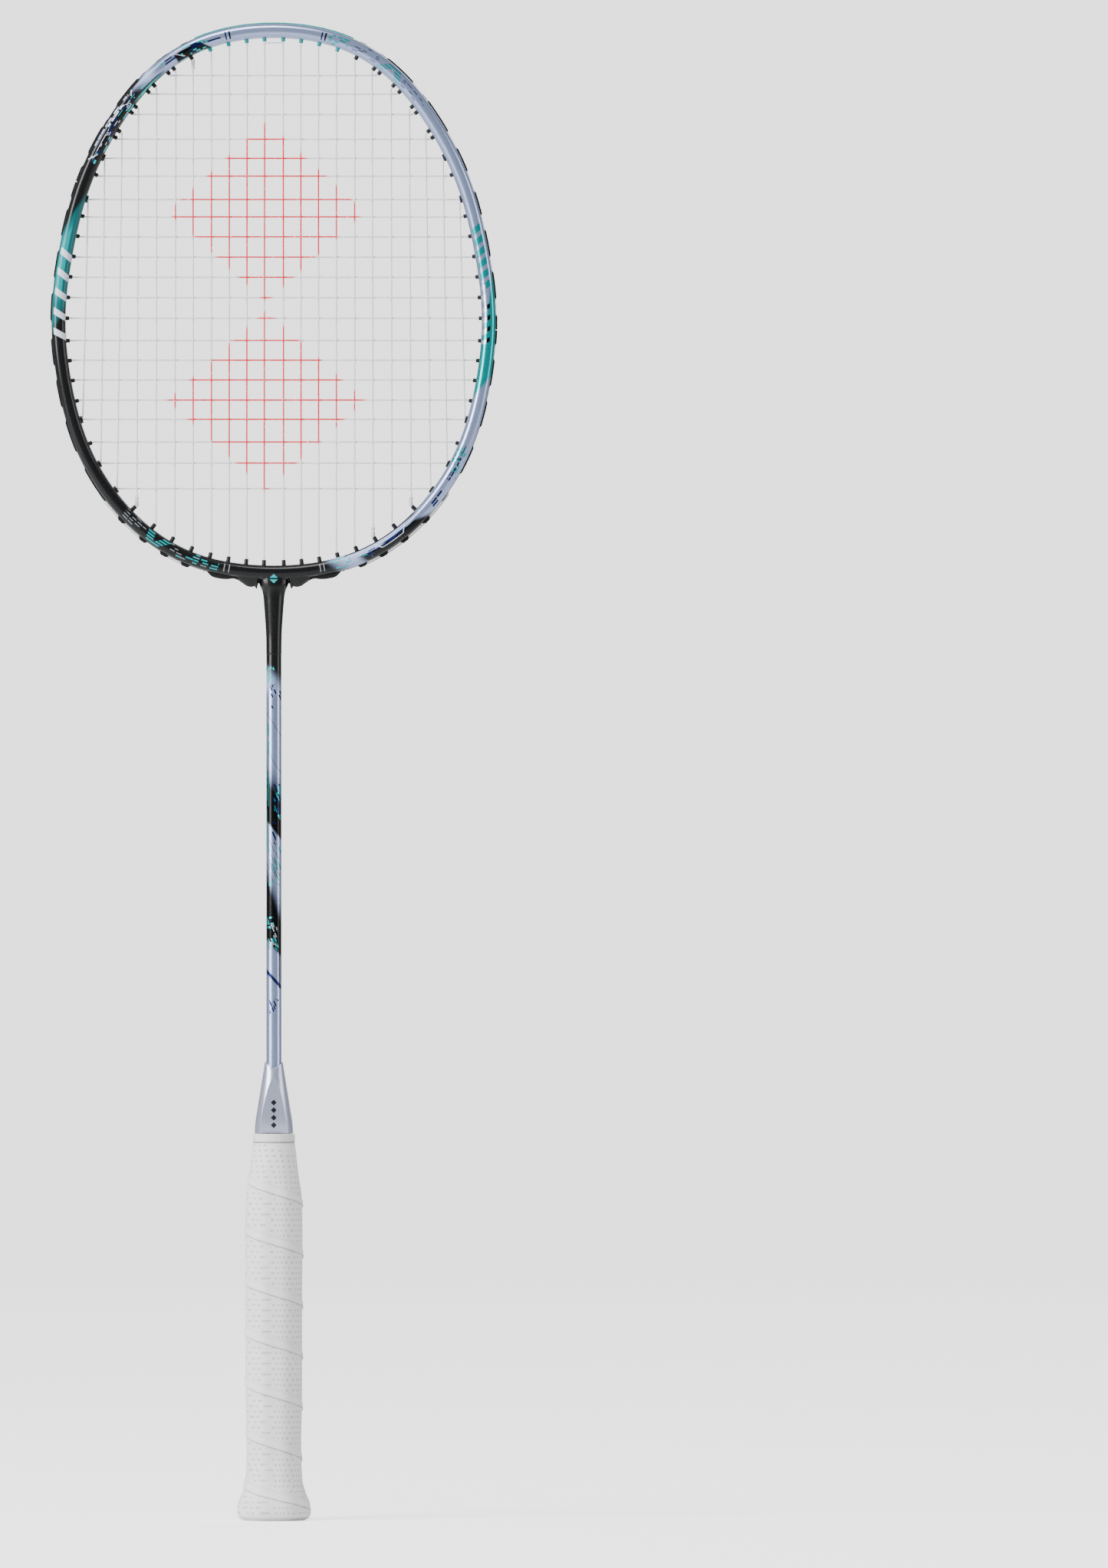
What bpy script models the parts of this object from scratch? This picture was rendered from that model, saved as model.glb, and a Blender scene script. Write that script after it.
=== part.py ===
"""Badminton racket: carbon hoop, T-joint, shaft, octagonal handle, grommet strips and strings.

Frame of the part: origin at the middle of the flat butt, +Z along the shaft to the head,
+X across the head, -Y towards the front face. Metres. The string bed lies in the plane y = 0.
"""
import math

import bmesh
import bpy

MM = 0.001

# ---- head outline: distance from the head's centre, at equal angles from the top to the throat
HEAD_CENTRE_Z = 545.0 * MM
HEAD_RADII = [r * MM for r in (130.3, 128.0, 118.0, 108.0, 101.5, 100.5, 103.0, 109.5, 116.5, 121.0, 121.0)]

# ---- hoop tube, measured outwards (u) from the head outline and along Y (v)
TUBE_OUTER_U = -0.2 * MM
TUBE_WIDTH = 6.6 * MM
TUBE_HALF_DEPTH = 5.1 * MM
TUBE_ROUNDNESS = 2.5
GROOVE_HALF_WIDTH = 1.9 * MM
GROOVE_FLOOR_U = -2.1 * MM
HOOP_STEPS = 92
JOINT_HALF_WIDTH = 16.2 * MM
GAP = 0.3 * MM

# ---- spigots that hold the T-joint in the hoop's ends
SPIGOT_U = (-5.4 * MM, -3.4 * MM)
SPIGOT_HALF_DEPTH = 3.0 * MM
SPIGOT_REACH = 26.4 * MM

# ---- strings: the drilling pattern, from the centre outwards and from the top cross down
STRING_RADIUS = 0.33 * MM
STRING_SIDES = 6
MAIN_TOP_X = [x * MM for x in (4.15, 12.1, 20.1, 28.2, 36.5, 44.7, 52.9, 61.2, 69.3, 76.8, 84.3)]
MAIN_FOOT_X = [x * MM for x in (4.4, 12.3, 20.2, 28.2, 36.4, 44.8, 53.2, 61.9, 70.9, 78.4, 86.5)]
CROSS_TOP_Z = 651.9 * MM
CROSS_GAPS = [g * MM for g in (8.7, 9.1, 10.0, 8.9, 9.0, 9.0, 9.4, 9.0, 9.1, 9.1,
                               9.2, 9.3, 10.0, 8.9, 8.9, 9.1, 9.6, 9.3, 10.1, 11.2)]
SHARED_HOLES = {("main", 9, "top"): 4, ("main", 10, "top"): 6,
                ("main", 10, "foot"): 17, ("main", 9, "foot"): 19, ("main", 8, "foot"): 20}
MAIN_V = -0.5 * MM
CROSS_V = 0.5 * MM
RUN_U = -0.65 * MM
RUN_STEP = math.radians(6)
BEND_CLEARANCE = 0.55 * MM
SEAT_SPACING = 3.4 * MM

# ---- grommets
BARREL_RADIUS = 0.85 * MM
BORE_RADIUS = 0.55 * MM
HOLE_RADIUS = 1.15 * MM
SHARED_EXTRA = 0.5 * MM
SHARED_PROUD = 0.6 * MM
SHARED_CLEARANCE = 0.3 * MM
BARREL_SIDES = 6
BARREL_PROUD = {"top": 1.6 * MM, "side": 1.4 * MM, "bottom": 2.2 * MM}
SIDE_FROM = math.radians(45)
SIDE_TO = math.radians(135)
STRIP_GAP_ANGLE = 0.004
CHANNEL_REACH_ANGLE = 0.009
STRIP_U = (-1.8 * MM, -1.3 * MM)
STRIP_HALF_WIDTH = 1.55 * MM
STRIP_CHANNEL_HALF_WIDTH = 1.15 * MM
INNER_BUMP = {"from": 7.4 * MM, "to": 15.6 * MM, "height": 3.6 * MM}
OUTER_BUMP = {"from": 18.6 * MM, "to": 31.4 * MM, "height": 1.7 * MM}

# ---- neck of the T-joint: height, half width across X, half depth along Y
NECK = [(z * MM, hx * MM, hy * MM) for z, hx, hy in (
    (427.4, 6.4, 4.4), (424.0, 7.0, 4.9), (421.4, 6.4, 4.9), (419.7, 5.5, 4.7), (417.2, 4.9, 4.5),
    (413.0, 4.5, 4.3), (408.3, 4.15, 4.05), (399.4, 3.6, 3.6), (391.3, 3.4, 3.4))]
NECK_SPIGOT = {"radius": 2.1 * MM, "foot_z": 362.0 * MM}

# ---- shaft
SHAFT_OUTER_RADIUS = 3.4 * MM
SHAFT_BORE_RADIUS = 2.4 * MM
SHAFT_TOP_Z = NECK[-1][0] - GAP
SHAFT_FOOT_Z = 62.0 * MM
ROUND_SIDES = 24

# ---- handle: half sizes of the grip's octagon across X and Y, and how much its corners cut off
HANDLE_HALF_X = 12.75 * MM
HANDLE_HALF_Y = 11.5 * MM
CORNER_CUT = 0.6
ROUND_FROM_Z = 148.0 * MM
ROUND_OVER = 18.0 * MM
GRIP_THICKNESS = 1.9 * MM
GRIP = [(z * MM, hx * MM) for z, hx in (
    (0.0, 13.9), (0.9, 15.3), (2.6, 16.3), (5.2, 16.4), (8.4, 16.0), (17.4, 12.9), (20.5, 12.75),
    (145.0, 12.75), (155.0, 11.3), (170.1, 9.45))]
BAND = {"foot_z": 170.4 * MM, "top_z": 174.2 * MM, "radius": 9.45 * MM, "bore": 8.45 * MM}
CORE_TOP_Z = 173.6 * MM
CORE_TOP_RADIUS = 8.1 * MM
CORE_BORE_RADIUS = 3.7 * MM
CORE_BORE_FOOT_Z = 60.0 * MM
CORE_SHOULDER_Z = 147.0 * MM
CORE_FLARE_Z = 19.0 * MM
CORE_FLARE_FOOT_Z = 7.0 * MM
GRIP_FLARE_Z = 5.6 * MM
FLARE_EXTRA = 1.2 * MM
CORE_FOOT_Z = 4.3 * MM
END_CAP = {"thickness": 4.0 * MM, "half_x": 12.6 * MM, "rim": 0.5 * MM}
CAP_TENON = {"radius": 6.0 * MM, "height": 3.0 * MM}
BADGE = {"radius": 6.2 * MM, "thickness": 1.0 * MM, "sunk": 0.5 * MM}

# ---- cone cap: height and half width, from the foot to the tip
CONE = [(z * MM, r * MM) for z, r in ((174.5, 8.7), (178.0, 8.55), (188.9, 6.9), (200.0, 5.1), (206.6, 4.0))]
CONE_BORE_RADIUS = 3.68 * MM
CONE_POCKET = {"radius": 7.2 * MM, "top_z": 178.4 * MM}


# ---------------------------------------------------------------- outline of the head
def series_terms(radii):
    """Cosine terms whose sum passes through the radii."""
    last = len(radii) - 1
    terms = []
    for order in range(last + 1):
        total = 0.0
        for index, radius in enumerate(radii):
            weight = 0.5 if index in (0, last) else 1.0
            total += weight * radius * math.cos(math.pi * order * index / last)
        terms.append(total * (1.0 if order in (0, last) else 2.0) / last)
    return terms


TERMS = series_terms(HEAD_RADII)


def head_point(phi, u=0.0):
    """(x, z) at angle phi from the head's top, moved outwards by u along the normal."""
    radius = sum(term * math.cos(order * phi) for order, term in enumerate(TERMS))
    slope = -sum(order * term * math.sin(order * phi) for order, term in enumerate(TERMS))
    sin, cos = math.sin(phi), math.cos(phi)
    tangent_x = slope * sin + radius * cos
    tangent_z = slope * cos - radius * sin
    length = math.hypot(tangent_x, tangent_z)
    return (radius * sin - u * tangent_z / length,
            HEAD_CENTRE_Z + radius * cos + u * tangent_x / length)


def solve(function, low, high):
    """The angle between low and high at which function is zero."""
    rising = function(high) > 0.0
    for _ in range(50):
        middle = (low + high) / 2
        if (function(middle) > 0.0) == rising:
            high = middle
        else:
            low = middle
    return (low + high) / 2


def phi_at_foot(x):
    """Angle of the outline's point at x, beside the throat."""
    return solve(lambda phi: head_point(phi)[0] - x, math.radians(100), math.pi)


PHI_JOINT = phi_at_foot(JOINT_HALF_WIDTH)


# ---------------------------------------------------------------- where the strings are seated
def barrel_proud(phi):
    if abs(phi) < SIDE_FROM:
        return BARREL_PROUD["top"]
    return BARREL_PROUD["side"] if abs(phi) < SIDE_TO else BARREL_PROUD["bottom"]


def bend_u(phi):
    """Where a string leaves its barrel and turns into the bed."""
    return TUBE_OUTER_U - TUBE_WIDTH - barrel_proud(phi) - BEND_CLEARANCE


SHARED_BEND_U = TUBE_OUTER_U - TUBE_WIDTH - SHARED_PROUD - SHARED_CLEARANCE


def mouth_u(seat):
    """Where a seat's barrel ends."""
    proud = SHARED_PROUD if seat["extra"] else barrel_proud(seat["phi"])
    return TUBE_OUTER_U - TUBE_WIDTH - proud


def cross_heights():
    heights = [CROSS_TOP_Z]
    for gap in CROSS_GAPS:
        heights.append(heights[-1] - gap)
    return heights


def spread(seats):
    """Pushes neighbours apart along the hoop until their barrels have room."""
    for _ in range(40):
        seats.sort(key=lambda seat: seat["phi"])
        for first, second in zip(seats, seats[1:]):
            ax, az = head_point(first["phi"])
            bx, bz = head_point(second["phi"])
            short = SEAT_SPACING - math.hypot(bx - ax, bz - az)
            if short > 1e-6:
                turn = 0.5 * short / math.hypot(ax, az - HEAD_CENTRE_Z)
                first["phi"] -= turn
                second["phi"] += turn


def main_seat(number, end, phi):
    bend = bend_u(phi)
    return {"string": ("main", number), "end": end, "phi": phi, "v": MAIN_V, "extra": 0.0, "bend": bend}


def right_seats():
    """The seats on the +X half: one dictionary for each string end, the main of a shared hole last."""
    seats = []
    mains = {}
    for number, (top_x, foot_x) in enumerate(zip(MAIN_TOP_X, MAIN_FOOT_X)):
        for end, x, low, high in (("top", top_x, 0, 84), ("foot", foot_x, 98, 180)):
            shared = ("main", number, end) in SHARED_HOLES
            mains[number, end] = phi = solve(
                lambda phi: head_point(phi, SHARED_BEND_U if shared else bend_u(phi))[0] - x,
                math.radians(low), math.radians(high))
            if not shared:
                seats.append(main_seat(number, end, phi))
    partners = {cross: key[1:] for key, cross in SHARED_HOLES.items()}
    for number, z in enumerate(cross_heights()):
        shared = number in partners
        phi = solve(lambda phi: head_point(phi, SHARED_BEND_U if shared else bend_u(phi))[1] - z,
                    0.05, math.pi - 0.05)
        seat = {"string": ("cross", number), "end": "side", "phi": phi, "v": CROSS_V, "extra": 0.0}
        if shared:
            seat.update(phi=(phi + mains[partners[number]]) / 2, v=0.0, extra=SHARED_EXTRA)
        seat["bend"] = SHARED_BEND_U if shared else bend_u(seat["phi"])
        seats.append(seat)
    spread(seats)
    crosses = {seat["string"][1]: seat for seat in seats if seat["string"][0] == "cross"}
    for (_, number, end), cross in SHARED_HOLES.items():
        seats.append(dict(crosses[cross], string=("main", number), end=end))
    return seats


RIGHT_SEATS = right_seats()
RIGHT_HOLES = RIGHT_SEATS[:-len(SHARED_HOLES)]
HOLES = RIGHT_HOLES + [dict(seat, phi=-seat["phi"]) for seat in RIGHT_HOLES]


def find_seat(kind, number, end):
    for seat in RIGHT_SEATS:
        if seat["string"] == (kind, number) and seat["end"] == end:
            return seat
    raise ValueError("no such seat")


def seat_phi(kind, number, end):
    return find_seat(kind, number, end)["phi"]


# ---------------------------------------------------------------- mesh helpers
def material(name, colour, roughness, metallic=0.0):
    made = bpy.data.materials.new(name)
    made.use_nodes = True
    shader = made.node_tree.nodes["Principled BSDF"]
    shader.inputs["Base Color"].default_value = (*colour, 1.0)
    shader.inputs["Roughness"].default_value = roughness
    shader.inputs["Metallic"].default_value = metallic
    return made


def from_rings(name, rings, closed=False):
    """A skin over rings of points, with end caps unless the last ring meets the first."""
    mesh = bmesh.new()
    loops = [[mesh.verts.new(point) for point in ring] for ring in rings]
    count = len(rings[0])
    pairs = list(zip(loops, loops[1:]))
    if closed:
        pairs.append((loops[-1], loops[0]))
    for first, second in pairs:
        for index in range(count):
            after = (index + 1) % count
            mesh.faces.new((first[index], first[after], second[after], second[index]))
    if not closed:
        mesh.faces.new(loops[0])
        mesh.faces.new(loops[-1])
    bmesh.ops.recalc_face_normals(mesh, faces=mesh.faces)
    data = bpy.data.meshes.new(name)
    mesh.to_mesh(data)
    mesh.free()
    made = bpy.data.objects.new(name, data)
    bpy.context.collection.objects.link(made)
    return made


def joined(name, pieces):
    """One mesh that holds the pieces side by side, for use as a cutter or an addition."""
    mesh = bmesh.new()
    for piece in pieces:
        mesh.from_mesh(piece.data)
        bpy.data.objects.remove(piece)
    data = bpy.data.meshes.new(name)
    mesh.to_mesh(data)
    mesh.free()
    made = bpy.data.objects.new(name, data)
    made.hide_render = True
    made.display_type = 'WIRE'
    bpy.context.collection.objects.link(made)
    return made


def combine(target, other, operation):
    """Adds a Boolean with another object, which then only guides this one."""
    other.hide_render = True
    other.display_type = 'WIRE'
    step = target.modifiers.new(operation.lower(), 'BOOLEAN')
    step.operation = operation
    step.solver = 'EXACT'
    step.object = other


def finish(piece, finish_material, smooth_degrees=30.0):
    piece.data.materials.append(finish_material)
    piece.data.shade_smooth()
    piece.data.set_sharp_from_angle(angle=math.radians(smooth_degrees))
    return piece


def swept(name, section, phis):
    """Sweeps a section of (u, v) points along the head outline; section may depend on phi."""
    rings = []
    for phi in phis:
        points = section(phi) if callable(section) else section
        ring = []
        for u, v in points:
            x, z = head_point(phi, u)
            ring.append((x, v, z))
        rings.append(ring)
    return from_rings(name, rings)


def steps(low, high, count):
    return [low + (high - low) * index / count for index in range(count + 1)]


def box_section(low_u, high_u, half_v):
    return [(low_u, -half_v), (high_u, -half_v), (high_u, half_v), (low_u, half_v)]


def radial_prism(phi, v, radius, low_u, high_u, sides):
    """A prism along the hoop's normal at phi."""
    inner_x, inner_z = head_point(phi, low_u)
    outer_x, outer_z = head_point(phi, high_u)
    length = math.hypot(outer_x - inner_x, outer_z - inner_z)
    across = ((outer_z - inner_z) / length, -(outer_x - inner_x) / length)
    rings = []
    for x, z in ((inner_x, inner_z), (outer_x, outer_z)):
        ring = []
        for side in range(sides):
            turn = 2 * math.pi * (side + 0.5) / sides
            shift = radius * math.cos(turn)
            ring.append((x + across[0] * shift, v + radius * math.sin(turn), z + across[1] * shift))
        rings.append(ring)
    return from_rings("prism", rings)


def round_ring(radius, z, sides=ROUND_SIDES):
    turns = [2 * math.pi * side / sides for side in range(sides)]
    return [(radius * math.cos(turn), radius * math.sin(turn), z) for turn in turns]


# ---------------------------------------------------------------- hoop and T-joint
def tube_section(grooved):
    """The hoop's rounded section, with or without the groove on its outer side."""
    middle_u = TUBE_OUTER_U - TUBE_WIDTH / 2
    power = 2 / TUBE_ROUNDNESS
    start = math.asin((GROOVE_HALF_WIDTH / TUBE_HALF_DEPTH) ** (1 / power))
    points = []
    for turn in steps(start, 2 * math.pi - start, 10):
        sin, cos = math.sin(turn), math.cos(turn)
        u = middle_u + TUBE_WIDTH / 2 * math.copysign(abs(cos) ** power, cos)
        v = TUBE_HALF_DEPTH * math.copysign(abs(sin) ** power, sin)
        points.append((u, v))
    if grooved:
        points.append((GROOVE_FLOOR_U, -GROOVE_HALF_WIDTH))
        points.append((GROOVE_FLOOR_U, GROOVE_HALF_WIDTH))
    return points


def string_holes(name, wanted):
    """Cutters for the wanted barrel holes."""
    low_u = TUBE_OUTER_U - TUBE_WIDTH - 1.0 * MM
    high_u = GROOVE_FLOOR_U + 1.0 * MM
    cutters = []
    for seat in wanted:
        radius = HOLE_RADIUS + seat["extra"]
        cutters.append(radial_prism(seat["phi"], seat["v"], radius, low_u, high_u, BARREL_SIDES))
    return joined(name, cutters)


def spigot(name, side, extra):
    """The tongue beside the throat, grown by extra for its socket."""
    section = box_section(SPIGOT_U[0] - extra, SPIGOT_U[1] + extra, SPIGOT_HALF_DEPTH + extra)
    start = phi_at_foot(JOINT_HALF_WIDTH - 2 * MM)
    end = phi_at_foot(SPIGOT_REACH + extra)
    return swept(name, section, [side * phi for phi in steps(start, end, 5)])


def build_hoop(paint):
    phi_end = phi_at_foot(JOINT_HALF_WIDTH + GAP)
    hoop = swept("frame_hoop", tube_section(True), steps(-phi_end, phi_end, HOOP_STEPS))
    sockets = [spigot("socket", side, GAP) for side in (-1, 1)]
    combine(hoop, joined("hoop_sockets", sockets), 'DIFFERENCE')
    own = [seat for seat in HOLES if abs(seat["phi"]) < phi_end]
    combine(hoop, string_holes("hoop_holes", own), 'DIFFERENCE')
    return finish(hoop, paint)


def neck_rings():
    rings = []
    for z, half_x, half_y in NECK:
        rings.append([(half_x * x, half_y * y, z) for x, y, _ in round_ring(1.0, z)])
    rings.append(round_ring(NECK_SPIGOT["radius"], NECK[-1][0]))
    rings.append(round_ring(NECK_SPIGOT["radius"], NECK_SPIGOT["foot_z"]))
    return rings


def build_t_joint(paint):
    phis = steps(PHI_JOINT, 2 * math.pi - PHI_JOINT, 8)
    joint = swept("t_joint", tube_section(False), phis)
    combine(joint, from_rings("neck", neck_rings()), 'UNION')
    combine(joint, joined("t_spigots", [spigot("tongue", side, 0.0) for side in (-1, 1)]), 'UNION')
    grooves = []
    for side in (-1, 1):
        low, high = phi_at_foot(JOINT_HALF_WIDTH + GAP / 2), phi_at_foot(2.4 * MM)
        section = box_section(GROOVE_FLOOR_U, 0.3 * MM, GROOVE_HALF_WIDTH)
        grooves.append(swept("groove", section, [side * phi for phi in steps(low, high, 4)]))
    combine(joint, joined("t_grooves", grooves), 'DIFFERENCE')
    own = [seat for seat in HOLES if abs(seat["phi"]) > phi_at_foot(SPIGOT_REACH)]
    combine(joint, string_holes("t_holes", own), 'DIFFERENCE')
    return finish(joint, paint)


# ---------------------------------------------------------------- grommet strips
def bump_top(phi):
    """Outer face of a strip: flat, with a rounded guard over each string loop at the throat."""
    x = abs(head_point(phi)[0])
    if abs(phi) > math.radians(140):
        for bump in (INNER_BUMP, OUTER_BUMP):
            if bump["from"] < x < bump["to"]:
                share = (x - bump["from"]) / (bump["to"] - bump["from"])
                return STRIP_U[1] + (bump["height"] - STRIP_U[1]) * math.sin(math.pi * share) ** 0.6
    return STRIP_U[1]


def strip_section(phi):
    top = bump_top(phi)
    half = STRIP_HALF_WIDTH
    return [(STRIP_U[0], -half), (top, -half), (top, half), (STRIP_U[0], half)]


def build_strip(name, low, high, nylon, count):
    """A strip in the groove between two angles, with a hollow barrel at each seat."""
    strip = swept(name, strip_section, steps(low, high, count))
    barrels = []
    bores = []
    for seat in HOLES:
        if not min(low, high) < seat["phi"] < max(low, high):
            continue
        mouth = mouth_u(seat)
        middle = (STRIP_U[0] + STRIP_U[1]) / 2
        place = (seat["phi"], seat["v"])
        barrels.append(radial_prism(*place, BARREL_RADIUS + seat["extra"], mouth, middle, BARREL_SIDES))
        bores.append(radial_prism(*place, BORE_RADIUS + seat["extra"], mouth - MM, 0.0, BARREL_SIDES))
    combine(strip, joined(name + "_barrels", barrels), 'UNION')
    combine(strip, joined(name + "_bores", bores), 'DIFFERENCE')
    return finish(strip, nylon)


def build_throat_strip(name, side, nylon):
    """The strip beside the throat, whose guards cover two string loops."""
    low, high = phi_at_foot(OUTER_BUMP["to"] + 0.6 * MM), phi_at_foot(2.8 * MM)
    strip = build_strip(name, side * low, side * high, nylon, 26)
    channels = []
    for first, second in ((0, 1), (2, 3)):
        ends = [seat_phi("main", second, "foot") - CHANNEL_REACH_ANGLE,
                seat_phi("main", first, "foot") + CHANNEL_REACH_ANGLE]
        section = box_section(STRIP_U[1], 0.0, STRIP_CHANNEL_HALF_WIDTH)
        channels.append(swept("channel", section, [side * phi for phi in steps(*ends, 3)]))
    combine(strip, joined(name + "_channels", channels), 'DIFFERENCE')
    return strip


def between(kind_a, kind_b):
    """An angle half way between two neighbouring seats."""
    return (seat_phi(*kind_a) + seat_phi(*kind_b)) / 2


def build_grommets(teal, black):
    crown = between(("main", 3, "top"), ("main", 4, "top"))
    shoulder = between(("cross", 5, "side"), ("cross", 6, "side"))
    waist = between(("cross", 12, "side"), ("cross", 13, "side"))
    foot = phi_at_foot(OUTER_BUMP["to"] + 1.2 * MM)
    slack = STRIP_GAP_ANGLE / 2
    build_strip("grommet_strip_top", -crown + slack, crown - slack, teal, 14)
    for label, side in (("left", -1), ("right", 1)):
        spans = (("shoulder", crown, shoulder, 14), ("side", shoulder, waist, 14), ("lower", waist, foot, 18))
        for part, low, high, count in spans:
            name = "grommet_strip_%s_%s" % (part, label)
            build_strip(name, side * (low + slack), side * (high - slack), black, count)
        build_throat_strip("grommet_strip_throat_" + label, side, black)


# ---------------------------------------------------------------- strings
def tube_along(name, points, across, radius, sides):
    """A tube through points that all lie in one plane, whose normal is across (+-Y)."""
    rings = []
    for index, point in enumerate(points):
        before = points[index - 1] if index else None
        after = points[index + 1] if index + 1 < len(points) else None
        into = unit(before, point) if before else unit(point, after)
        out = unit(point, after) if after else into
        bisector = (into[0] + out[0], into[1] + out[1])
        length = math.hypot(*bisector)
        tangent = (bisector[0] / length, bisector[1] / length)
        stretch = 1.0 / max(0.5, tangent[0] * into[0] + tangent[1] * into[1])
        ring = []
        for side in range(sides):
            turn = 2 * math.pi * (side + 0.5) / sides
            shift = radius * stretch * math.cos(turn)
            ring.append((point[0] + tangent[1] * shift, across + radius * math.sin(turn),
                         point[1] - tangent[0] * shift))
        rings.append(ring)
    return from_rings(name, rings)


def unit(start, end):
    dx, dz = end[0] - start[0], end[1] - start[1]
    length = math.hypot(dx, dz)
    return dx / length, dz / length


def seat_points(seat, side, outward):
    """Bend point and outer corner of a string at a seat, in the order it travels."""
    phi = side * seat["phi"]
    points = [head_point(phi, seat["bend"]), head_point(phi, RUN_U)]
    return points if outward else points[::-1]


def run_points(start, stop):
    """Points in the groove between two seats, where the string follows the hoop's curve."""
    count = math.ceil(abs(stop - start) / RUN_STEP)
    return [head_point(phi, RUN_U) for phi in steps(start, stop, count)[1:-1]]


def main_half(side):
    """The main string from the crown of the head out to the last main of one side."""
    points = []
    last = None
    for number in range(len(MAIN_TOP_X)):
        ends = ("top", "foot") if number % 2 == 0 else ("foot", "top")
        start, stop = (find_seat("main", number, end) for end in ends)
        if last:
            points += run_points(side * last["phi"], side * start["phi"])
        points += seat_points(start, side, False)
        points += seat_points(stop, side, True)
        last = stop
    return points


def build_main_string(nylon):
    points = main_half(-1)[::-1] + main_half(1)
    return finish(tube_along("main_string", points, MAIN_V, STRING_RADIUS, STRING_SIDES), nylon)


def build_cross_string(nylon):
    points = []
    last = None
    for number in range(len(CROSS_GAPS) + 1):
        side = 1 if number % 2 == 0 else -1
        seat = find_seat("cross", number, "side")
        if last:
            points += run_points(-side * last["phi"], -side * seat["phi"])
        points += seat_points(seat, -side, False)
        points += seat_points(seat, side, True)
        last = seat
    return finish(tube_along("cross_string", points, CROSS_V, STRING_RADIUS, STRING_SIDES), nylon)


TIES = {"crown": ("top", 4, -1), "right": ("foot", 7, 1), "left": ("foot", 7, -1), "foot": ("foot", 5, 1)}


def along_main(number, end, side, distance):
    """A point on a main string, at a distance into the bed from where it bends."""
    other = "foot" if end == "top" else "top"
    seats = (find_seat("main", number, end), find_seat("main", number, other))
    start, stop = (head_point(side * seat["phi"], seat["bend"]) for seat in seats)
    way = unit(start, stop)
    return (start[0] + way[0] * distance, start[1] + way[1] * distance), way


def ring_stack(name, centre, way, profile, sides, finish_material):
    """A turned ring about a main string; profile is a loop of (distance along, radius)."""
    rings = []
    for along, radius in profile:
        ring = []
        for side in range(sides):
            turn = 2 * math.pi * side / sides
            shift = radius * math.cos(turn)
            x = centre[0] + way[0] * along + way[1] * shift
            z = centre[1] + way[1] * along - way[0] * shift
            ring.append((x, MAIN_V + radius * math.sin(turn), z))
        rings.append(ring)
    return finish(from_rings(name, rings, closed=True), finish_material)


def build_ties(sleeve_nylon, string_nylon):
    """At each tie-off a clear sleeve and the knot against it, both round a main string."""
    for label, (end, number, side) in TIES.items():
        centre, way = along_main(number, end, side, 0.9 * MM)
        sleeve = [(0.0, 0.55 * MM), (0.0, 0.85 * MM), (1.5 * MM, 0.85 * MM), (1.5 * MM, 0.55 * MM)]
        ring_stack("tie_sleeve_" + label, centre, way, sleeve, 8, sleeve_nylon)
        knot = []
        for step in range(6):
            turn = 2 * math.pi * step / 6
            knot.append((2.2 * MM + 0.38 * MM * math.cos(turn), 0.86 * MM + 0.36 * MM * math.sin(turn)))
        ring_stack("tie_knot_" + label, centre, way, knot, 8, string_nylon)


# ---------------------------------------------------------------- shaft and handle
def build_shaft(paint):
    rings = [round_ring(SHAFT_OUTER_RADIUS, SHAFT_FOOT_Z), round_ring(SHAFT_OUTER_RADIUS, SHAFT_TOP_Z),
             round_ring(SHAFT_BORE_RADIUS, SHAFT_TOP_Z), round_ring(SHAFT_BORE_RADIUS, SHAFT_FOOT_Z)]
    return finish(from_rings("shaft", rings, closed=True), paint)


def handle_turns():
    """Sixteen directions round the handle: its octagon's corners and the middles of its faces."""
    cut = CORNER_CUT * HANDLE_HALF_Y
    first = math.atan2(HANDLE_HALF_Y - cut, HANDLE_HALF_X)
    second = math.atan2(HANDLE_HALF_Y, HANDLE_HALF_X - cut)
    quarter = [0.0, first, (first + second) / 2, second]
    half = quarter + [math.pi / 2] + [math.pi - turn for turn in quarter[:0:-1]]
    return half + [math.pi + turn for turn in half]


def handle_ring(half_x, z, roundness=0.0):
    """The handle's octagon scaled to half_x at height z, or a circle at roundness 1."""
    half_y = half_x * HANDLE_HALF_Y / HANDLE_HALF_X
    cut = CORNER_CUT * half_y
    ring = []
    for turn in handle_turns():
        cos, sin = abs(math.cos(turn)), abs(math.sin(turn))
        reach = min(half_x / max(cos, 1e-9), half_y / max(sin, 1e-9), (half_x + half_y - cut) / (cos + sin))
        reach += (half_x - reach) * roundness
        ring.append((reach * math.cos(turn), reach * math.sin(turn), z))
    return ring


def grip_round(z):
    """Roundness of the handle's section: octagonal below the taper, round at its top."""
    return min(1.0, max(0.0, (z - ROUND_FROM_Z) / ROUND_OVER))


def taper_rings(foot_half, top_half):
    """Rings from the shoulder of the handle up to the top of the grip."""
    rings = []
    for share in steps(0.0, 1.0, 4):
        z = CORE_SHOULDER_Z + share * (GRIP[-1][0] - CORE_SHOULDER_Z)
        rings.append(handle_ring(foot_half + share * (top_half - foot_half), z, grip_round(z)))
    return rings


def build_grip(tape):
    outer = [handle_ring(half_x, z, grip_round(z)) for z, half_x in GRIP]
    inner = taper_rings(HANDLE_HALF_X - GRIP_THICKNESS, BAND["bore"])[::-1]
    inner += [handle_ring(HANDLE_HALF_X - GRIP_THICKNESS, CORE_FLARE_Z),
              handle_ring(END_CAP["half_x"] + FLARE_EXTRA, GRIP_FLARE_Z),
              handle_ring(END_CAP["half_x"] + GAP, CORE_FOOT_Z + 0.2 * MM),
              handle_ring(END_CAP["half_x"] + GAP, 0.0)]
    return finish(from_rings("grip_wrap", outer + inner, closed=True), tape)


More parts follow.
